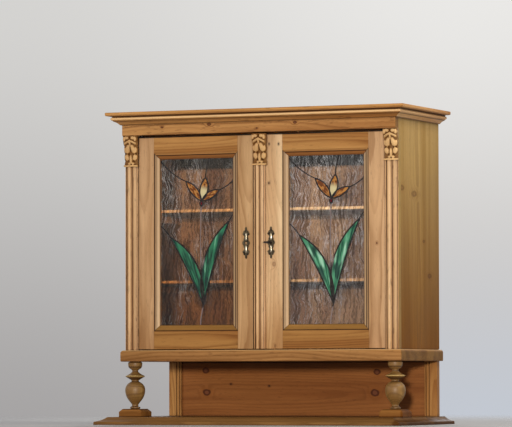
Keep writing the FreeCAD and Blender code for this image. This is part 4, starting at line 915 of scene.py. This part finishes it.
def plainMaterial(name, colours, roughness, metallic, rough=0.15, depth=0.0006, stem=None):
    material, tree, shader, coords = newMaterial(name)
    patina = cloud(tree, coords, patinaLook["cloud"], 4.0, 0.6).outputs["Fac"]
    worn = span(tree, patina, *patinaLook["range"])
    colour = blend(tree, worn, tint(*colours[0]), tint(*colours[1]))
    # Painted reflection: the lead is pale beside the stem
    if stem is not None:
        apart = split(tree, coords)
        above = span(tree, apart["Z"], *leadReflection["leaves"])
        along = times(tree, above, fall(tree, apart["Z"], *leadReflection["top"]))
        along = calc(tree, "MAXIMUM", along, fall(tree, apart["Z"], *leadReflection["root"]))
        away = gap(tree, apart["X"], stem * mm)
        beside = span(tree, away, *leadReflection["beside"], leadReflection["share"], 0.0)
        colour = blend(tree, times(tree, beside, along), colour, tint(*leadReflection["colour"]))
    feeds = {"Height": patina, "Strength": patinaLook["bump"], "Distance": depth}
    feed(tree, shader, {
        "Base Color": colour,
        "Roughness": calc(tree, "MULTIPLY_ADD", patina, rough, roughness),
        "Normal": put(tree, "Bump", feeds).outputs[0],
        "Metallic": metallic,
    })
    return material


def fromPoint(tree, coords, side, point):
    # Where a place lies from a point of the flower, and its angle from straight up
    centre = ((panes[side]["middle"] + point[0]) * mm, 0, point[1] * mm)
    apart = split(tree, vector(tree, "SUBTRACT", coords, centre))
    return apart, calc(tree, "ARCTAN2", apart["X"], apart["Z"])


def colourGlass(tree, shader, facts, colour, swirl):
    feeds = {"Height": swirl, "Strength": facts["bump"], "Distance": facts["bumpDepth"]}
    feed(tree, shader, {
        "Base Color": colour,
        "Normal": put(tree, "Bump", feeds).outputs[0],
        "Roughness": facts["roughness"],
        "Transmission Weight": facts["glow"],
    })


def petalGlass(side):
    material, tree, shader, coords = newMaterial(f"{side}_petal_glass")
    petal, cream, bud = flower["petal"], flower["cream"], flower["bud"]
    apart, angle = fromPoint(tree, coords, side, flower["heart"])
    squares = [calc(tree, "POWER", apart[axis], 2.0) for axis in ("X", "Z")]
    radius = calc(tree, "POWER", calc(tree, "ADD", *squares), 0.5)
    turned, outward = petal["fan"]
    fan = put(tree, "CombineXYZ", {
        0: times(tree, angle, turned),
        1: times(tree, radius, outward),
        2: panes[side]["petalSeed"],
    }).outputs[0]
    swirl = cloud(tree, fan, (1, 1, 1), 2.0).outputs["Fac"]
    gold, brown = petal["colours"]
    colour = blend(tree, span(tree, swirl, *petal["swirl"]), tint(*gold), tint(*brown))
    share = times(
        tree, span(tree, angle, *cream["from"]), fall(tree, angle, *cream["to"]),
        fall(tree, radius, *cream["radius"]),
    )
    colour = blend(tree, share, colour, tint(*cream["colour"]))
    colour = blend(tree, fall(tree, apart["Z"], *bud["below"]), colour, tint(*bud["colour"]))
    colourGlass(tree, shader, petal, colour, swirl)
    return material


def leafGlass(side):
    material, tree, shader, coords = newMaterial(f"{side}_leaf_glass")
    leaf, patch = flower["leaf"], flower["patch"]
    apart, angle = fromPoint(tree, coords, side, flower["root"])
    turned, upward = leaf["fan"]
    fan = put(tree, "CombineXYZ", {
        0: times(tree, angle, turned),
        1: times(tree, apart["Z"], upward),
        2: panes[side]["leafSeed"],
    }).outputs[0]
    swirl = cloud(tree, fan, (1, 1, 1), 3.0).outputs["Fac"]
    blots = cloud(tree, fan, patch["stretch"], 2.0).outputs["Fac"]
    dark, middle, light = panes[side]["leaf"]
    colour = blend(tree, span(tree, swirl, *leaf["dark"]), tint(*dark), tint(*middle))
    colour = blend(tree, span(tree, swirl, *leaf["light"]), colour, tint(*light))
    share = span(tree, blots, *patch["range"], 0.0, patch["share"])
    colour = blend(tree, share, colour, tint(*patch["colour"]))
    colourGlass(tree, shader, leaf, colour, swirl)
    return material


# Lead and metal: two colours of the patina, roughness and how metallic it is
metals = {
    "lead": (((52, 46, 44), (24, 20, 20)), 0.4, 0.55),
    "iron": (((44, 38, 38), (26, 20, 20)), 0.4, 0.8),
    "brass": (((176, 146, 84), (130, 100, 52)), 0.3, 1.0),
    "oldBrass": (((104, 92, 72), (40, 34, 27)), 0.36, 0.8),
    "polishedBrass": (((214, 204, 182), (160, 146, 118)), 0.24, 1.0),
}
iron = plainMaterial("iron", *metals["iron"])
brass = plainMaterial("brass", *metals["brass"])
oldBrass = plainMaterial("oldBrass", *metals["oldBrass"])
for side, pane in panes.items():
    dress(f"{side}_clear_glass", clearGlass(f"{side}_clear_glass", pane["middle"], *pane["glass"]))
    dress(f"{side}_petal_glass", petalGlass(side))
    dress(f"{side}_leaf_glass", leafGlass(side))
    stem = pane["middle"] + flower["stem"]
    dress(f"{side}_came", plainMaterial(f"{side}_lead", *metals["lead"], stem=stem))
    dress(f"{side}_escutcheon", oldBrass)
    dress(f"{side}_pivots", iron)
for name in ("key", "strike_plate", "bolt_straps", "pivot_plates", "lock_case"):
    dress(name, iron)
for name in ("lock_bolt", "upper_bolt", "lower_bolt", "bolt_keepers"):
    dress(name, brass)
print("glass and metal dressed")

# Escutcheons: a polished rib above and below the keyhole, on the dark plate. Sizes in mm
rib = {"wide": 7.5, "tall": 26, "rise": 1.6, "middles": (20.5, -21.5), "around": 14, "along": 10}
polished = plainMaterial("polishedBrass", *metals["polishedBrass"], rough=0.12, depth=0.0003)


def ribEscutcheon(side):
    low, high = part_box(f"{side}_escutcheon")
    middle = (low + high) / 2
    shape = bmesh.new()
    size = Vector((rib["wide"], rib["rise"] * 2, rib["tall"])) * mm
    for up in rib["middles"]:
        dome = bmesh.ops.create_uvsphere(
            shape, u_segments=rib["around"], v_segments=rib["along"], radius=0.5,
        )["verts"]
        bmesh.ops.scale(shape, verts=dome, vec=size)
        bmesh.ops.translate(shape, verts=dome, vec=(middle.x, low.y, middle.z + up * mm))
    keepPiece(f"{side}_escutcheon_ribs", shape, f"{side}_door", polished)


for side in ("left", "right"):
    ribEscutcheon(side)
print("escutcheons ribbed")

# Studio: pale floor that fades into a pale room, a lamp in front and three weaker ones around.
# Ranges in x and z are of the direction that is looked in
studio = {
    "roomLow": (0.455, 0.44, 0.44, 1),
    "roomHigh": (0.83, 0.82, 0.80, 1),
    "rise": (-0.03, 0.11),
    "turn": (-0.46, -0.34, 0.8, 1.0),
    "coolWallLight": {"from": (-0.42, -0.35), "to": (-0.3, -0.1), "below": (-0.02, 0.05),
             "colour": (0.53, 0.57, 0.64, 1)},
    "sky": (0.95, 0.97, 1.0, 1),
    "skyLevel": 0.24,
    "floor": 30.0,
    "floorColour": (0.42, 0.41, 0.405, 1),
    "floorRoughness": 0.9,
    "fade": (1.0, 4.0),
    "lampsAim": (0, 0, 0.55),
}
lamps = {
    "front": {"place": (2.35, -6.0, 0.72), "size": 0.35, "power": 265, "colour": (1.0, 0.97, 0.93)},
    "left": {"place": (-4.2, -3.4, 2.0), "size": 1.6, "power": 36, "colour": (1.0, 0.97, 0.93)},
    "right": {"place": (1.9, -0.3, 2.5), "size": 0.8, "power": 27, "colour": (1.0, 0.96, 0.88)},
    "back": {"place": (-1.0, 4.0, 3.0), "size": 2.0, "power": 110, "colour": (0.97, 0.98, 1.0)},
}
world = bpy.data.worlds.new("studio")
scene.world = world
world.use_nodes = True
tree = world.node_tree
path = put(tree, "LightPath").outputs
behind = calc(tree, "MAXIMUM", path["Is Glossy Ray"], path["Is Transmission Ray"])
seen = calc(tree, "MAXIMUM", path["Is Camera Ray"], behind)
sky = put(tree, "Background", {"Color": studio["sky"], "Strength": studio["skyLevel"]}).outputs[0]
aim = split(tree, put(tree, "TexCoord").outputs["Generated"])
# Painted wall light on the room seen behind: darker low down and to the left, cooler low on the right
coolWallLight = studio["coolWallLight"]
share = times(
    tree, span(tree, aim["X"], *coolWallLight["from"]), fall(tree, aim["X"], *coolWallLight["to"]),
    fall(tree, aim["Z"], *coolWallLight["below"]),
)
roomFoot = blend(tree, share, studio["roomLow"], coolWallLight["colour"])
roomColour = blend(tree, span(tree, aim["Z"], *studio["rise"]), roomFoot, studio["roomHigh"])
roomLevel = span(tree, aim["X"], *studio["turn"])
room = put(tree, "Background", {"Color": roomColour, "Strength": roomLevel}).outputs[0]
mixed = put(tree, "MixShader", {0: seen, 1: sky, 2: room}).outputs[0]
tree.links.new(mixed, tree.nodes["World Output"].inputs[0])
for name, facts in lamps.items():
    lamp = bpy.data.lights.new(name, "AREA")
    lamp.size = facts["size"]
    lamp.energy = facts["power"]
    lamp.color = facts["colour"]
    holder = bpy.data.objects.new(name, lamp)
    scene.collection.objects.link(holder)
    holder.location = facts["place"]
    aimed = Vector(studio["lampsAim"]) - Vector(facts["place"])
    holder.rotation_euler = aimed.to_track_quat("-Z", "Y").to_euler()

shape = bmesh.new()
bmesh.ops.create_grid(shape, x_segments=1, y_segments=1, size=studio["floor"])
floorMesh = bpy.data.meshes.new("floor")
shape.to_mesh(floorMesh)
shape.free()
floor = bpy.data.objects.new("floor", floorMesh)
scene.collection.objects.link(floor)
floor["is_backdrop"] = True
floorPaint, tree, shader, coords = newMaterial("floorPaint")
away = vector(tree, "LENGTH", coords)
feed(tree, shader, {
    "Base Color": studio["floorColour"],
    "Roughness": studio["floorRoughness"],
    "Alpha": fall(tree, away, *studio["fade"]),
})
floorMesh.materials.append(floorPaint)
print("studio lit")

low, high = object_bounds()
